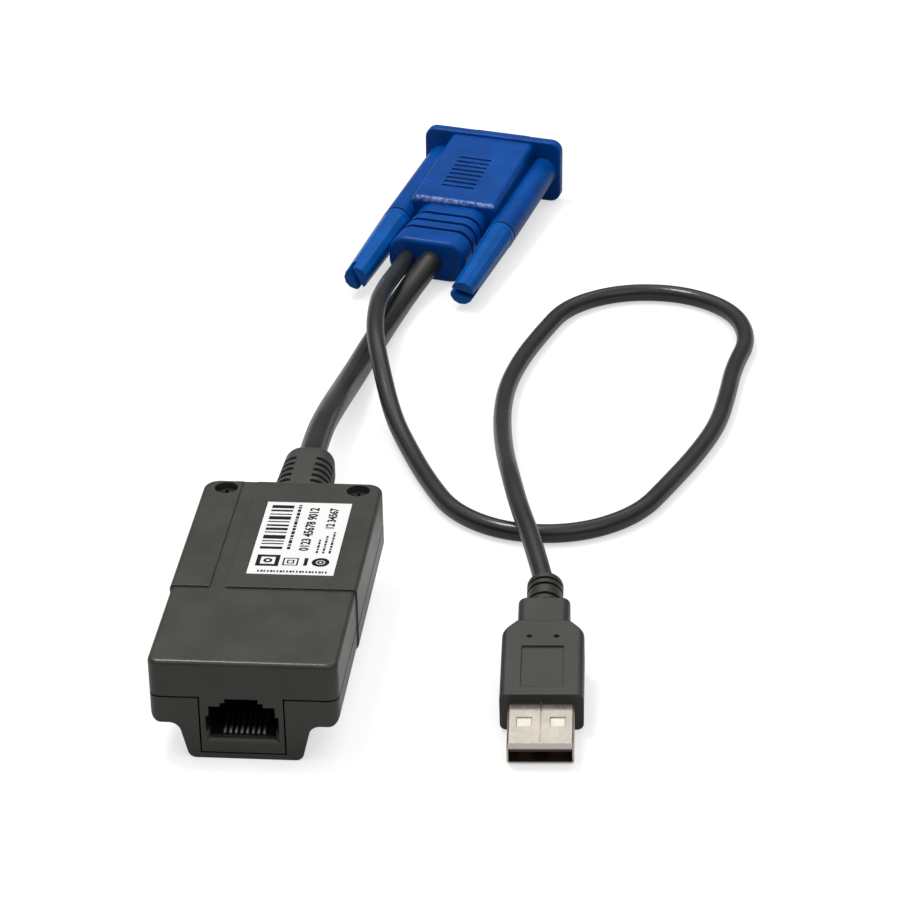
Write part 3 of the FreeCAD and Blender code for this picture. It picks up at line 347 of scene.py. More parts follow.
@dataclass(frozen=True)
class CableJacket:
    """Extruded PVC: smooth, with faint drag marks and a satin gloss.

    Attributes:
        name: name of the material.
        colour: colour of the jacket.
        rough: its roughness.
        dust: colour of the dust on it.
        uneven: how much its colour wanders, as a share.
    """

    name: str
    colour: Colour
    rough: float = 0.36
    dust: Colour = (0.16, 0.16, 0.15)
    uneven: float = 0.15

    def material(self) -> bpy.types.Material:
        """Builds the material.

        Returns:
            The material.
        """
        net = material_network(self.name)
        sway = net.noise(size=14.0, detail=2.0, rough=0.5)
        skin = net.noise(size=1.1, detail=3.0, rough=0.6)
        dust = net.noise(size=0.35, detail=3.0, rough=0.7).between(0.62, 0.82)
        body = net.mix(sway.between(0.3, 0.7), *shades(self.colour, self.uneven))
        body = net.mix(dust * 0.12, body, self.dust)
        rough = self.rough + (sway - 0.5) * 0.12 + (skin - 0.5) * 0.1 + dust * 0.08
        height = skin * 0.7 + sway * 0.3
        return net.finish(Base_Color=body, Roughness=rough,
                          Normal=net.bump(height, 0.05, strength=0.5))


@dataclass(frozen=True)
class PlatedMetal:
    """Thin plated sheet or wire with rolling lines, small stains and rounded edges.

    Attributes:
        name: name of the material.
        colour: colour of the plating.
        stain: colour of the stains.
        rough: its roughness.
        lines: direction along which the rolling lines run, as a stretch of the noise.
        edge: rounding of its edges in millimetres.
        metal: how much of a metal it is.
        shade_above: height in millimetres above which its colour is darkened: painted shade,
            deeper in the socket.
        shaded_share: what is left of its colour there, as a share.
        depth: depth of the rolling lines in millimetres.
    """

    name: str
    colour: Colour
    stain: Colour
    rough: float
    lines: Point = (1.0, 0.06, 1.0)
    edge: float = 0.08
    metal: float = 1.0
    shade_above: float | None = None
    shaded_share: float = 0.04
    depth: float = 0.006

    def material(self) -> bpy.types.Material:
        """Builds the material.

        Returns:
            The material.
        """
        net = material_network(self.name)
        rolled = net.noise(size=0.22, detail=3.0, rough=0.6, stretch=self.lines)
        patch = net.noise(size=3.2, detail=4.0, rough=0.65)
        spot = net.noise(size=0.5, detail=2.0, rough=0.6).between(0.64, 0.78)
        body = net.mix(patch.between(0.35, 0.75) * 0.5 + spot * 0.25, self.colour, self.stain)
        # painted shade: darker above that height, where less light reaches
        if self.shade_above is not None:
            rise = net.dot(net.place(), UP)
            body = net.mix(rise.between(self.shade_above, self.shade_above + 0.5), body,
                           tuple(c * self.shaded_share for c in self.colour))
        rough = self.rough + (rolled - 0.5) * 0.16 + (patch - 0.5) * 0.12 + spot * 0.08
        normal = net.bump(rolled, self.depth, net.rounded(self.edge))
        return net.finish(Base_Color=body, Metallic=self.metal, Roughness=rough, Normal=normal)


@dataclass(frozen=True)
class CoatedFilm:
    """Label film or the print on it, slightly uneven where the glue lies under it.

    Attributes:
        name: name of the material.
        colour: its colour.
        fleck: colour of the fine flecks in it.
        share: how much of that colour the flecks take.
        specular: strength of its gloss.
    """

    name: str
    colour: Colour
    fleck: Colour
    share: float
    specular: float

    def material(self) -> bpy.types.Material:
        """Builds the material.

        Returns:
            The material.
        """
        net = material_network(self.name)
        glue = net.noise(size=3.5, detail=2.0, rough=0.5)
        fibre = net.noise(size=0.12, detail=3.0, rough=0.7)
        share = fibre.between(0.45, 0.85) * self.share + glue * 0.15
        rough = 0.42 + (glue - 0.5) * 0.16 + (fibre - 0.5) * 0.1
        return net.finish(Base_Color=net.mix(share, self.colour, self.fleck), Roughness=rough,
                          Normal=net.bump(glue * 0.8 + fibre * 0.2, 0.02),
                          Specular_IOR_Level=self.specular)


@dataclass(frozen=True)
class Laminate:
    """Circuit board under green solder mask, with copper tracks that show through it.

    Attributes:
        name: name of the material.
        mask: colour of the mask over bare board.
        track: its colour over copper.
        weave: its colour where the glass cloth shows.
    """

    name: str
    mask: Colour = (0.01, 0.09, 0.035)
    track: Colour = (0.03, 0.2, 0.08)
    weave: Colour = (0.02, 0.12, 0.05)

    def material(self) -> bpy.types.Material:
        """Builds the material.

        Returns:
            The material.
        """
        net = material_network(self.name)
        tracks = net.add("ShaderNodeTexBrick", {"offset": 0.5}, {
            "Vector": net.place(), "Scale": 0.45, "Mortar Size": 0.06}, out="Fac")
        cloth = net.noise(size=0.4, detail=2.0, rough=0.5)
        body = net.mix(tracks, self.mask, self.track)
        return net.finish(Base_Color=net.mix(cloth * 0.3, body, self.weave),
                          Roughness=0.3 + cloth * 0.1, Normal=net.bump(tracks, 0.02))


class Finish(Enum):
    """The finishes of this object."""

    HOUSING = MouldedPlastic("housing_plastic", (0.043, 0.044, 0.035), rough=0.3)
    JACK = MouldedPlastic("jack_plastic", (0.012, 0.012, 0.012), rough=0.35, depth=0.003)
    CHIP = MouldedPlastic("chip_resin", (0.014, 0.014, 0.015), rough=0.6)
    RELIEF = MouldedPlastic("relief_rubber", (0.047, 0.048, 0.043), rough=0.42, grain=0.3,
                            edge=0.3)
    MOULDING = MouldedPlastic("plug_moulding", (0.031, 0.033, 0.027), rough=0.38, grain=0.22,
                              edge=0.3)
    # Blue hood: its rear top edge carries a painted highlight, broken up into pale scratches.
    BLUE = MouldedPlastic("blue_hood", (0.0, 0.066, 0.32), rough=0.32, grain=0.4,
                          depth=0.004, edge=0.35, rubbed=(0.06, 0.24, 0.6), specular=0.12,
                          scuff_and_highlight=ScuffAndHighlight((0.205895, 0.977221, 0.051436), place=190.25, height=11.0))
    KNOB = MouldedPlastic("blue_knob", (0.0, 0.092, 0.39), rough=0.26, grain=0.5,
                          depth=0.002, edge=0.12, rubbed=(0.04, 0.22, 0.6), specular=0.15)
    # Housing screws: near-black, painted shade of the deep wells they sit in.
    SCREW = MouldedPlastic("screw_painted_shade", (0.012, 0.012, 0.013), rough=0.35, grain=0.1,
                           edge=0.1)
    # Contact carrier: its dark brown is painted shade of the plug's mouth; its face under the
    # windows is pale.
    CARRIER = MouldedPlastic("contact_carrier_painted_shade", (0.11, 0.05, 0.025), rough=0.45)
    WINDOW = MouldedPlastic("carrier_face", (0.86, 0.82, 0.74), rough=0.4, depth=0.002)
    CABLE = CableJacket("cable_jacket", (0.026, 0.027, 0.023), rough=0.26)
    CORE = CableJacket("core_insulation", (0.2, 0.02, 0.02))
    NICKEL = PlatedMetal("nickel_plate", (0.6, 0.55, 0.48), (0.42, 0.365, 0.3), rough=0.3)
    # Sleeve lip: white and not metal, a painted highlight for the bright folded lip.
    RIM = PlatedMetal("sleeve_rim_painted_highlight", (1.0, 0.97, 0.92), (0.97, 0.93, 0.87), rough=0.4,
                      metal=0.0)
    STEEL = PlatedMetal("screw_steel", (0.62, 0.62, 0.6), (0.4, 0.38, 0.34), rough=0.3)
    # Jack contacts: painted shade darkens them above 4.4 mm, where they run deeper into the
    # socket.
    TIN = PlatedMetal("contact_plating", (0.8, 0.79, 0.76), (0.6, 0.58, 0.53), rough=0.35,
                      metal=0.4, shade_above=4.4)
    # USB contacts: gold darkened to brown, painted shade inside the plug's mouth.
    STRIP = PlatedMetal("strip_flash_painted_shade", (0.12, 0.07, 0.03), (0.06, 0.035, 0.02), rough=0.5)
    GOLD = PlatedMetal("gold_flash", (0.83, 0.6, 0.27), (0.55, 0.36, 0.14), rough=0.22)
    FILM = CoatedFilm("label_film", (0.94, 0.95, 0.94), fleck=(0.846, 0.855, 0.846),
                      share=0.3, specular=0.5)
    INK = CoatedFilm("label_ink", (0.004, 0.004, 0.005), fleck=(0.02, 0.02, 0.022),
                     share=0.35, specular=0.15)
    BOARD = Laminate("board_laminate")

    def material(self) -> bpy.types.Material:
        """The finish's material, built once."""
        return bpy.data.materials.get(self.value.name) or self.value.material()


def dress(piece: bpy.types.Object, finish: Finish) -> None:
    """Gives every face of a piece one finish.

    Args:
        piece: mesh or curve object.
        finish: the finish that it gets.
    """
    slots = piece.data.materials
    if not slots:
        slots.append(None)
    for n in range(len(slots)):
        slots[n] = finish.material()


def dress_nodes(finishes: dict[str, Finish]) -> list[bpy.types.Object]:
    """Dresses CAD nodes.

    Args:
        finishes: finish of each node, by the node's name.

    Returns:
        The nodes.
    """
    nodes = [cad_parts[name] for name in finishes]
    for node, finish in zip(nodes, finishes.values()):
        dress(node, finish)
    return nodes


# ------------------------------------------------------------------------------ object helpers
def new_object(name: str, data: Any) -> bpy.types.Object:
    """Adds an object to the scene.

    Args:
        name: name of the object.
        data: its mesh, curve, light or camera.

    Returns:
        The object.
    """
    made = bpy.data.objects.new(name, data)
    bpy.context.scene.collection.objects.link(made)
    return made


def turned(origin: Point, yaw: float, tip: float, roll: float = 0.0) -> Matrix:
    """The frame of a piece that doesn't lie square to the axes.

    Args:
        origin: where its origin is.
        yaw: its turn about the vertical in degrees.
        tip: lift of its far end in degrees.
        roll: its lean to the right in degrees.

    Returns:
        The frame.
    """
    return (Matrix.Translation(origin)
            @ Matrix.Rotation(math.radians(yaw), 4, "Z")
            @ Matrix.Rotation(math.radians(roll), 4, "Y")
            @ Matrix.Rotation(math.radians(tip), 4, "X"))


@dataclass
class Sheet:
    """Vertices and faces that are collected before they become one mesh.

    Attributes:
        points: the vertices.
        faces: the vertices' numbers, face by face.
    """

    points: list[Vector] = field(default_factory=list)
    faces: list[tuple[int, ...]] = field(default_factory=list)

    def polygon(self, corners: Sequence[Vector]) -> None:
        """Adds one face with its own vertices.

        Args:
            corners: its corners in order.
        """
        start = len(self.points)
        self.points += [Vector(c) for c in corners]
        self.faces.append(tuple(range(start, start + len(corners))))

    def band(self, outer: Sequence[Vector], inner: Sequence[Vector]) -> None:
        """Adds the faces between two closed rings.

        Args:
            outer: corners of the first ring.
            inner: corners of the second ring, as many.
        """
        start, count = len(self.points), len(outer)
        self.points += [Vector(c) for c in (*outer, *inner)]
        for n in range(count):
            m = (n + 1) % count
            self.faces.append((start + n, start + m, start + count + m, start + count + n))

    def piece(self, name: str, body: str, finish: Finish, slot: str,
              smooth: bool = False) -> bpy.types.Object:
        """Makes the object, dresses it and sets it on its body.

        Args:
            name: name of the piece.
            body: CAD body that it rides on.
            finish: its finish.
            slot: the record's material slot; not used.
            smooth: whether its faces are shaded smooth.

        Returns:
            The new object.
        """
        mesh = bpy.data.meshes.new(name)
        mesh.from_pydata(self.points, [], self.faces)
        mesh.polygons.foreach_set("use_smooth", [smooth] * len(mesh.polygons))
        made = new_object(name, mesh)
        dress(made, finish)
        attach(made, body)
        return made


# ------------------------------------------------------------------------------ studio
@dataclass(frozen=True)
class Lamp:
    """One soft box.

    Attributes:
        name: its name.
        place: where it hangs.
        size: its width and its height.
        power: its power in watts.
    """

    name: str
    place: Point
    size: tuple[float, float]
    power: float

    def build(self, target: Point) -> None:
        """Makes the soft box.

        Args:
            target: the point that it looks at.
        """
        data = bpy.data.lights.new(self.name, "AREA")
        data.shape = "RECTANGLE"
        data.size, data.size_y = self.size
        data.energy = self.power
        lamp = new_object(self.name, data)
        lamp.location = self.place
        lamp.rotation_mode = "QUATERNION"
        aim = Vector(target) - Vector(self.place)
        lamp.rotation_quaternion = aim.to_track_quat("-Z", "Y")


@dataclass
class Studio:
    """A pale table, soft lamps and the camera.

    Attributes:
        eye: place of the camera.
        axes: the camera's x, y and z axes.
        lens: focal length in millimetres.
        sensor: width of the sensor in millimetres.
        nearest: nearest distance that the camera sees.
        table: colour of the table.
        half: half of the table's side.
        level: height of the table, a hair below the object.
        lift: light that the table adds for the camera, so that it comes out white.
        shade: share of that light that is lost right under the object.
        reach: how far from the object that loss reaches.
        sheen: light that the table adds where gloss mirrors it.
        horizon: the upward parts of a direction between which the sky grows brighter.
        glow: strength of the sky's light below and above those.
        target: the point that the lamps look at.
        lamps: the soft boxes.
    """

    eye: Point = (0.10174, -0.58849, 0.34902)
    axes: tuple[Point, Point, Point] = (
        (0.99456, 0.10126, -0.02465), (-0.02439, 0.45611, 0.88959),
        (0.10132, -0.88414, 0.45609))
    lens: float = 147.38
    sensor: float = 36.0
    nearest: float = 10.0 * MM
    table: Colour = (0.3, 0.3, 0.3)
    half: float = 4.0
    level: float = -0.03 * MM
    lift: float = 0.84
    shade: float = 0.36
    reach: float = 7.0 * MM
    sheen: float = 0.33
    horizon: tuple[float, float] = (0.38, 0.82)
    glow: tuple[float, float] = (0.15, 0.8)
    target: Point = (0.03, 0.09, 0.0)
    lamps: tuple[Lamp, ...] = (
        Lamp("key_box", (-0.26, 0.25, 0.98), (0.26, 0.2), 5.0),
        Lamp("fill_box", (0.6, -0.5, 0.8), (0.7, 0.7), 0.9),
        Lamp("back_box", (0.0, 0.80, 0.80), (0.7, 0.22), 0.5))

    def camera(self) -> None:
        """Makes the camera."""
        data = bpy.data.cameras.new("camera")
        data.lens = self.lens
        data.sensor_width = self.sensor
        data.clip_start = self.nearest
        camera = new_object("camera", data)
        turn = Matrix([list(row) for row in zip(*self.axes)]).to_4x4()
        camera.matrix_world = Matrix.Translation(self.eye) @ turn
        bpy.context.scene.camera = camera

    def table_material(self) -> bpy.types.Material:
        """Builds a matt material that comes out white but for the contact shadows.

        Returns:
            The material.
        """
        net = material_network("table_top")
        shown = net.add("ShaderNodeLightPath", out="Is Camera Ray")
        gloss = net.add("ShaderNodeLightPath", out="Is Glossy Ray")
        near = net.add("ShaderNodeAmbientOcclusion", {"samples": 8}, {"Distance": self.reach},
                       out="AO")
        matt = net.add("ShaderNodeBsdfDiffuse", None, {"Color": (*self.table, 1.0)})
        lift = shown * self.lift * (near * self.shade + (1.0 - self.shade))
        glow = net.add("ShaderNodeEmission", None, {"Strength": lift + gloss * self.sheen})
        both = net.add("ShaderNodeAddShader", None, {0: matt, 1: glow})
        net.node("ShaderNodeOutputMaterial", None, {"Surface": both})
        return net.owner

    def floor(self) -> None:
        """Makes the table, which keeps the object's shadow."""
        mesh = bpy.data.meshes.new("table_top")
        half, level = self.half, self.level
        mesh.from_pydata([(-half, -half, level), (half, -half, level), (half, half, level),
                          (-half, half, level)], [], [(0, 1, 2, 3)])
        mesh.materials.append(self.table_material())
        new_object("table_top", mesh)

    def sky(self) -> None:
        """Makes the light all around, dimmer near the table; seen directly it is white."""
        world = bpy.data.worlds.new("studio")
        bpy.context.scene.world = world
        net = Network(world)
        way = net.add("ShaderNodeTexCoord", out="Generated")
        height = net.add("ShaderNodeSeparateXYZ", None, {0: way}, out="Z")
        shown = net.add("ShaderNodeLightPath", out="Is Camera Ray")
        light = height.between(*self.horizon, *self.glow).math("MAXIMUM", shown)
        ground = net.add("ShaderNodeBackground", None,
                         {"Color": (*WHITE, 1.0), "Strength": light})
        net.node("ShaderNodeOutputWorld", None, {"Surface": ground})

    def build(self) -> None:
        """Makes the table, the sky and the lamps."""
        self.floor()
        self.sky()
        for lamp in self.lamps:
            lamp.build(self.target)
        bpy.context.scene.view_settings.view_transform = "Standard"
        log.info("studio: table, sky and %d lamps", len(self.lamps))


# ------------------------------------------------------------------------------ cables
@dataclass
class Cable:
    """One free cable on its smooth route.

    Attributes:
        name: name of the piece.
        node: the CAD node that it stands for.
        diameter: its diameter.
        length: its real length; not used.
        route: the points that it follows.
        far_end: what is on its far end; not used.
        steps: rings of the jacket from one point to the next.
        roundness: how finely the jacket is rounded.
    """

    name: str
    node: str
    diameter: float
    length: float
    route: Sequence[Point]
    far_end: str
    steps: int = 14
    roundness: int = 8

    def build(self) -> bpy.types.Object:
        """Makes the jacket along the route.

        Returns:
            The jacket.
        """
        curve = bpy.data.curves.new(self.name, "CURVE")
        curve.dimensions = "3D"
        line = curve.splines.new("NURBS")
        line.points.add(len(self.route) - 1)
        for point, place in zip(line.points, self.route):
            point.co = (*place, 1.0)
        line.order_u = 3
        line.use_endpoint_u = True
        line.resolution_u = self.steps
        curve.bevel_depth = self.diameter / 2
        curve.bevel_resolution = self.roundness
        curve.use_fill_caps = True
        made = new_object(self.name, curve)
        dress(made, Finish.CABLE)
        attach(made, "dongle")
        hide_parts(self.node)
        return made

    def declare(self, made: bpy.types.Object, goes_with: Sequence[Any]) -> None:
        """Does nothing: the cable and the pieces that it carries are not declared."""


MAIN_CABLE = Cable("main_cable_jacket", "main_cable", diameter=0.0054, length=0.116, route=[
    (-0.0005, 0.0573, 0.0122), (-0.0009, 0.0728, 0.0110), (-0.0005, 0.0886, 0.0084),
    (0.0001, 0.1030, 0.0056), (0.0012, 0.1174, 0.0036), (0.0028, 0.1320, 0.0028),
    (0.0051, 0.1465, 0.00285), (0.0081, 0.1611, 0.0035), (0.011591, 0.170826, 0.005448),
], far_end="connector")

USB_CABLE = Cable("usb_cable_jacket", "usb_cable", diameter=0.0038, length=0.445, route=[
    (0.005917, 0.172011, 0.00564), (0.0048, 0.1622, 0.0066), (0.0039, 0.1487, 0.0092),
    (0.0037, 0.1349, 0.0114), (0.0048, 0.1209, 0.0114), (0.0075, 0.1090, 0.0089),
    (0.0116, 0.0949, 0.0040), (0.0165, 0.0829, 0.0023), (0.0216, 0.0703, 0.00195),
    (0.0281, 0.0570, 0.00195), (0.0396, 0.0491, 0.00195), (0.0537, 0.0495, 0.00195),
    (0.0650, 0.0581, 0.00195), (0.0706, 0.0720, 0.00195), (0.0755, 0.0852, 0.00195),
    (0.0793, 0.0987, 0.00195), (0.0808, 0.1125, 0.00195), (0.0817, 0.1264, 0.00195),
    (0.0846, 0.1406, 0.00195), (0.0809, 0.1547, 0.00195), (0.0697, 0.1636, 0.00195),
    (0.0553, 0.1640, 0.00195), (0.0436, 0.1556, 0.00195), (0.0391, 0.1413, 0.00195),
    (0.0357, 0.1280, 0.0020), (0.0339, 0.1141, 0.0024), (0.0341, 0.1002, 0.0034),
    (0.0354, 0.0864, 0.0049), (0.0372, 0.0730, 0.0070), (0.0395, 0.0594, 0.0094),
    (0.0424, 0.0456, 0.0097), (0.0462, 0.0323, 0.0093), (0.049774, 0.016955, 0.008066),
], far_end="plug")


# ------------------------------------------------------------------------------ housing
@dataclass(frozen=True)
class Mark:
    """An outlined mark on the label, in millimetres.

    Attributes:
        along: its middle, from the label's front edge.
        across: its middle, from the label's left edge.
        size: its width.
        line: width of its outline.
        corners: how many corners it has: 4 for a square one and many for a round one.
    """

    along: float
    across: float
    size: float
    line: float
    corners: int


@dataclass
class Housing:
    """The module itself: cover, shell, socket, screws, label and what lies inside.

    The label's layout is in millimetres: along from its front edge, across from its left edge.

    Attributes:
        ink: height of the print above the film in millimetres.
        marks: the outlined marks near the front edge.
        dash: a plain dash between them: its start and end along, then across.
        text: where the text starts along.
        title: widths of the fields that stand for the title's letters, before they are narrowed.
        narrow: how far those are narrowed.
        stroke: height of the fine print's lines.
        ticks: how many ticks stand along the front edge.
        bold: how much the digits are thickened.
        finishes: finish of each CAD node.
    """

    ink: float = 0.012
    marks: tuple[Mark, ...] = (
        Mark(5.2, 3.3, 4.3, 0.8, 4), Mark(5.2, 3.3, 1.7, 0.5, 16), Mark(4.9, 7.6, 2.9, 0.3, 4),
        Mark(4.9, 7.6, 1.4, 0.3, 4), Mark(4.9, 13.2, 3.3, 0.8, 20),
        Mark(4.9, 13.2, 1.3, 0.4, 12))
    dash: tuple[float, float, float, float] = (3.5, 6.4, 10.1, 10.8)
    text: float = 9.6
    title: Sequence[float] = (1.1, 0.5, 0.5, 1.7, 0.5, 1.1, 0.8, 0.5, 1.5, 0.5, 0.8, 1.4)
    narrow: float = 0.86
    stroke: float = 0.42
    ticks: int = 22
    bold: float = 0.09
    finishes: dict[str, Finish] = field(default_factory=lambda: {
        "top_cover": Finish.HOUSING, "bottom_shell": Finish.HOUSING,
        "network_jack": Finish.JACK, "jack_contacts": Finish.TIN,
        "circuit_board": Finish.BOARD, "processor_chip": Finish.CHIP,
        "video_chip": Finish.CHIP, "usb_chip": Finish.CHIP, "clock_crystal": Finish.STEEL,
        "cable_header": Finish.JACK, "capacitors": Finish.CHIP, "cable_cores": Finish.CORE,
        "housing_screws": Finish.SCREW, "label": Finish.FILM,
        "strain_relief": Finish.RELIEF})

    def on_label(self, along: float, across: float) -> Vector:
        """A point just above the film, so many millimetres from its front and left edges."""
        low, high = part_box("label")
        return Vector((low.x + across * MM, low.y + along * MM, high.z + self.ink * MM))

    def bar(self, sheet: Sheet, a0: float, a1: float, c0: float, c1: float) -> None:
        """Adds a filled field between two places along and two across the label."""
        sheet.polygon([self.on_label(a, c) for a, c in ((a0, c1), (a1, c1), (a1, c0), (a0, c0))])

    def outline(self, sheet: Sheet, mark: Mark) -> None:
        """Adds an outlined mark.

        Args:
            sheet: where the print is collected.
            mark: the mark.
        """
        rings = []
        for radius in (mark.size / 2, mark.size / 2 - mark.line):
            corner = radius / math.cos(math.pi / mark.corners)
            angles = [2 * math.pi * (n + 0.5) / mark.corners for n in range(mark.corners)]
            rings.append([self.on_label(mark.along + corner * math.cos(angle),
                                        mark.across + corner * math.sin(angle))
                          for angle in angles])
        sheet.band(*rings)

    def words(self, sheet: Sheet, start: float, end: float, across: float, height: float,
              lengths: Sequence[float], gap: float) -> None:
        """Adds a line of short bars, as long as words would be.

        Args:
            sheet: where the print is collected.
            start: where the line starts along the label.
            end: where it ends.
            across: its middle across the label.
            height: height of the bars.
            lengths: lengths of the bars, taken in turn.
            gap: space between two bars.
        """
        shortest = 0.3
        place, n = start, 0
        while place < end - shortest:
            stop = min(end, place + lengths[n % len(lengths)])
            self.bar(sheet, place, stop, across - height / 2, across + height / 2)
            place, n = stop + gap, n + 1

    def letters(self, sheet: Sheet) -> None:
        """Adds the title's plain fields, with a wide gap after the first of every three.

        Args:
            sheet: where the print is collected.
        """
        left, right, gap, wide_gap = 1.1, 5.3, 0.62, 0.9
        place = self.text
        for n, width in enumerate(self.title):
            end = place + width * self.narrow
            self.bar(sheet, place, end, left, right)
            place = end + (gap if n % 3 else wide_gap)

    def fine_print(self, sheet: Sheet) -> None:
        """Adds three lines of fine print, one under the other.

        Args:
            sheet: where the print is collected.
        """
        start, first, pitch, gap = 8.4, 12.0, 1.2, 0.28
        lines = ((14.0, (0.9, 0.6, 1.1)), (15.6, (0.7, 1.0, 0.5)), (16.8, (1.1, 0.5, 0.8)))
        for n, (end, lengths) in enumerate(lines):
            self.words(sheet, start, end, first + n * pitch, self.stroke, lengths, gap)

    def tick_row(self, sheet: Sheet) -> None:
        """Adds the ticks along the front edge.

        Args:
            sheet: where the print is collected.
        """
        low, high, first, pitch, widths = 0.75, 1.5, 1.9, 0.6, (0.34, 0.46, 0.3)
        for n in range(self.ticks):
            left = first + n * pitch
            self.bar(sheet, low, high, left, left + widths[n % len(widths)])

    def digits(self, name: str, text: str, along: float, across: float,
               height: float) -> None:
        """Prints plain digits that read along the label.

        Args:
            name: name of the piece.
            text: the digits.
            along: where they start.
            across: their baseline.
            height: size of the type in millimetres.
        """
        data = bpy.data.curves.new(name, "FONT")
        data.body = text
        data.size = height * MM
        data.offset = self.bold * MM
        data.resolution_u = 4
        shape = new_object(name, data)
        bpy.context.view_layer.update()
        mesh = bpy.data.meshes.new_from_object(shape)
        bpy.data.objects.remove(shape)
        turn = Matrix.Rotation(math.pi / 2, 4, "Z")
        mesh.transform(Matrix.Translation(self.on_label(along, across)) @ turn)
        made = new_object(name, mesh)
        dress(made, Finish.INK)
        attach(made, "dongle")

    def print_label(self) -> None:
        """Prints plain fields, bars, marks and digits on the label."""
        sheet = Sheet()
        self.letters(sheet)
        self.words(sheet, self.text, end=27.2, across=6.5, height=0.62,
                   lengths=(1.0, 0.7, 1.3, 0.5, 0.9, 1.2), gap=0.3)
        for mark in self.marks:
            self.outline(sheet, mark)
        self.bar(sheet, *self.dash)
        self.fine_print(sheet)
        self.tick_row(sheet)
        sheet.piece("label_print", "dongle", Finish.INK, "label")
        self.digits("label_digits_a", "0123 45678 9012", along=9.2, across=10.2, height=2.4)
        self.digits("label_digits_b", "12 34567", along=17.8, across=13.9, height=2.2)

    def build(self) -> None:
        """Dresses the housing and prints its label."""
        dress_nodes(self.finishes)
        self.print_label()
        log.info("housing: %d nodes dressed, label printed", len(self.finishes))


# ------------------------------------------------------------------------------ video plug
@dataclass
class VideoPlug:
    """The blue video plug with its two thumbscrews.

    Attributes:
        origin: middle of the flange's rear face.
        yaw: its turn about the vertical in degrees.
        roll: its lean to the right in degrees.
        tip: lift of its pins in degrees.
        spacing: half the distance between the thumbscrews.
        shank: radius of the screws.
        root: radius at the bottom of the thread.
        crest: radius at the top of the thread.
        pitch: pitch of the thread.
        stations: rear end of the screw, start of the thread and its tip, along the plug.
        neck: length of the neck between the shank and the thread.
        shoulder: half of the length over which the shank narrows to the neck.
        run_out: length over which the thread fades at its tip.
        flank: how steeply the thread's sides rise: its height times this over one pitch.
        sides: sides of the screw.
        rings: rings to one pitch of the thread.
        finishes: finish of each CAD node.
    """

    origin: Point = (0.0210, 0.2213, 0.0081313)
    yaw: float = -11.8
    roll: float = 1.9
    tip: float = 2.95
    spacing: float = 12.5 * MM
    shank: float = 1.5 * MM
    root: float = 1.08 * MM
    crest: float = 1.42 * MM
    pitch: float = 0.635 * MM
    stations: tuple[float, float, float] = (-46.6 * MM, 3.2 * MM, 8.9 * MM)
    neck: float = 0.5 * MM
    shoulder: float = 0.02 * MM
    run_out: float = 0.6 * MM
    flank: float = 2.7
    sides: int = 28
    rings: int = 10
    finishes: dict[str, Finish] = field(default_factory=lambda: {
        "video_hood": Finish.BLUE, "video_shell": Finish.NICKEL,
        "video_insulator": Finish.JACK, "video_pins": Finish.GOLD,
        "thumbscrew_knob_left": Finish.KNOB, "thumbscrew_knob_right": Finish.KNOB})

    def radius(self, along: float, angle: float) -> float:
        """Radius of the screw.

        Args:
            along: place along the screw.
            angle: angle round it.

        Returns:
            The radius there.
        """
        _, start, end = self.stations
        if along < start - self.neck:
            return self.shank
        if along < start:
            return self.root
        phase = ((along - start) / self.pitch - angle / (2 * math.pi)) % 1.0
        ridge = min(1.0, self.flank * (0.5 - abs(phase - 0.5)))
        fade = min(1.0, (along - start) / self.pitch, max(0.0, (end - along) / self.run_out))
        return self.root + (self.crest - self.root) * ridge * fade

    def screw(self, side: int, word: str) -> bpy.types.Object:
        """Builds one screw with its fine thread.

        Args:
            side: -1 for the left one, 1 for the right one.
            word: the side as the nodes name it.

        Returns:
            The screw.
        """
        rear, start, end = self.stations
        bend = start - self.neck
        count = int((end - start) / self.pitch * self.rings)
        places = [rear, bend - self.shoulder, bend + self.shoulder, start]
        places += [start + (end - start) * (n + 1) / count for n in range(count)]
        angles = [2 * math.pi * n / self.sides for n in range(self.sides)]
        plug = turned(self.origin, self.yaw, self.tip, self.roll)
        sheet = Sheet()
        for along in places:
            for angle in angles:
                r = self.radius(along, angle)
                sheet.points.append(plug @ Vector((side * self.spacing + r * math.cos(angle),
                                                   along, r * math.sin(angle))))
        for row in range(len(places) - 1):
            for n in range(self.sides):
                a, b = row * self.sides + n, row * self.sides + (n + 1) % self.sides
                sheet.faces.append((a, a + self.sides, b + self.sides, b))
        last = (len(places) - 1) * self.sides
        sheet.faces.append(tuple(range(self.sides)))
        sheet.faces.append(tuple(range(last + self.sides - 1, last - 1, -1)))
        made = sheet.piece(f"screw_with_thread_{word}", f"thumbscrew_{word}", Finish.STEEL,
                           "nickel", smooth=True)
        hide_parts(f"thumbscrew_screw_{word}")
        return made

    def build(self) -> list[Any]:
        """Dresses the plug and makes its screws.

        Returns:
            Every piece of the plug.
        """
        nodes = dress_nodes(self.finishes)
        screws = [self.screw(-1, "left"), self.screw(1, "right")]
        log.info("video plug: %d nodes dressed, %d screws", len(nodes), len(screws))
        return nodes + screws


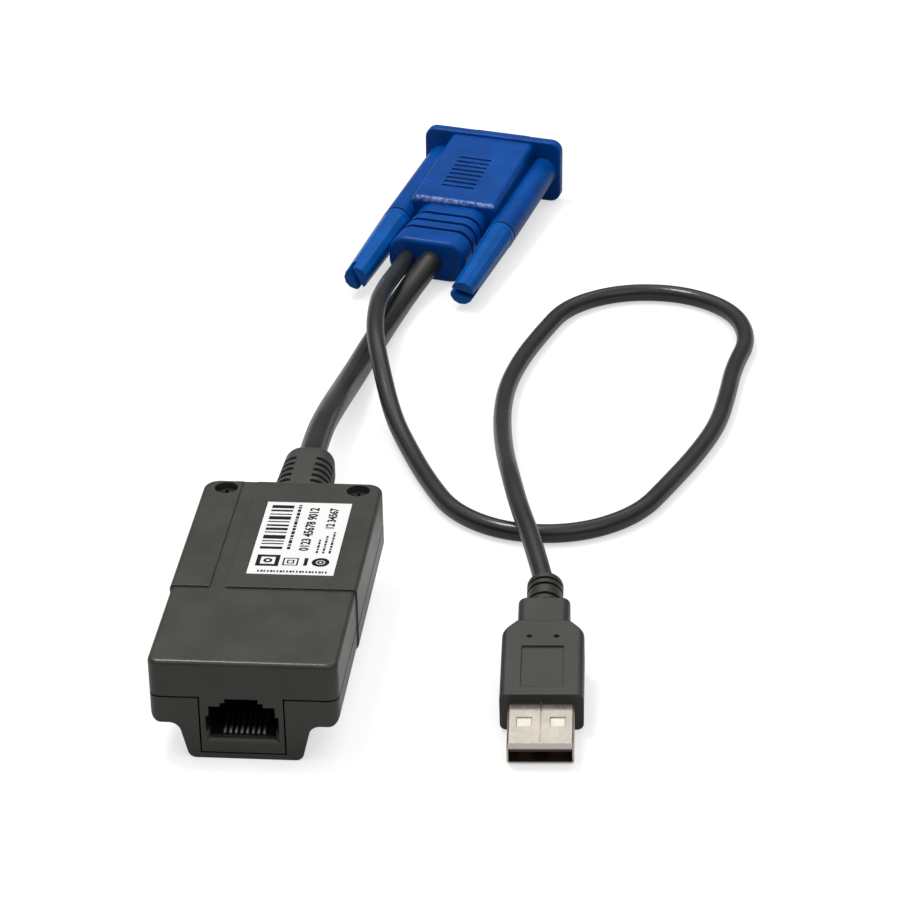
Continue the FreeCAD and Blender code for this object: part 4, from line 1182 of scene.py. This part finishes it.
# ------------------------------------------------------------------------------ USB plug
@dataclass
class UsbPlug:
    """The USB plug at the end of the thin cable.

    Attributes:
        origin: middle of the moulding's front edge on the table.
        yaw: its turn about the vertical in degrees.
        tip: lift of its cable end in degrees.
        window: middle of a window across and along, and half of its width and its length.
        face: height of the contact carrier's upper face.
        mouth: half width, place along and upper edge of the sleeve's mouth.
        section: corners of the lip's section, along and up from the mouth's upper edge.
        finishes: finish of each CAD node.
    """

    origin: Point = (0.05203, -0.02124, 0.0)
    yaw: float = 3.38
    tip: float = 6.07
    window: tuple[float, float, float, float] = (3.0, -5.7, 1.3, 1.4)
    face: float = 5.925
    mouth: Point = (5.66, -12.0, 6.2)
    section: tuple[tuple[float, float], ...] = (
        (-0.03, 0.0), (-0.38, -0.85), (-0.36, -1.05), (0.2, -1.05), (0.2, 0.0))
    finishes: dict[str, Finish] = field(default_factory=lambda: {
        "usb_moulding": Finish.MOULDING, "usb_shell": Finish.NICKEL,
        "usb_carrier": Finish.CARRIER, "usb_contacts": Finish.STRIP})

    def point(self, across: float, along: float, height: float) -> Vector:
        """A point that is given in millimetres in the plug's own frame."""
        return turned(self.origin, self.yaw, self.tip) @ (Vector((across, along, height)) * MM)

    def windows(self) -> bpy.types.Object:
        """Makes the pale faces that show through the sleeve's two upper windows.

        Returns:
            Both faces as one piece.
        """
        across, along, wide, long = self.window
        sheet = Sheet()
        for side in (-1, 1):
            sheet.polygon([self.point(side * across + x, along + y, self.face)
                           for x, y in ((-wide, -long), (wide, -long), (wide, long),
                                        (-wide, long))])
        return sheet.piece("carrier_face", "dongle", Finish.WINDOW, "carrier")

    def lip(self) -> bpy.types.Object:
        """Makes the turned-in lip at the top of the sleeve's mouth.

        Returns:
            The lip.
        """
        half, along, top = self.mouth
        ends = [[self.point(side * half, along + y, top + z) for y, z in self.section]
                for side in (1, -1)]
        sheet = Sheet()
        sheet.band(*ends)
        # the lip's finish is white and not metal: a painted highlight
        return sheet.piece("sleeve_lip", "dongle", Finish.RIM, "nickel")

    def build(self) -> list[Any]:
        """Dresses the plug and makes its small faces.

        Returns:
            Every piece of the plug.
        """
        nodes = dress_nodes(self.finishes)
        added = [self.windows(), self.lip()]
        log.info("USB plug: %d nodes dressed, %d pieces added", len(nodes), len(added))
        return nodes + added


def main() -> None:
    """Builds the studio, the cables and the sub-assemblies."""
    logging.basicConfig(level=logging.INFO, format="%(name)s: %(message)s")
    studio = Studio()
    studio.camera()
    jackets = [(cable, cable.build()) for cable in (MAIN_CABLE, USB_CABLE)]
    Housing().build()
    video = VideoPlug().build()
    usb = UsbPlug().build()
    loads = [[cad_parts["strain_relief"], *video], usb]
    for (cable, made), load in zip(jackets, loads):
        cable.declare(made, load)
        log.info("%s: %d points", cable.name, len(cable.route))
    studio.build()


if __name__ == "__main__":
    main()
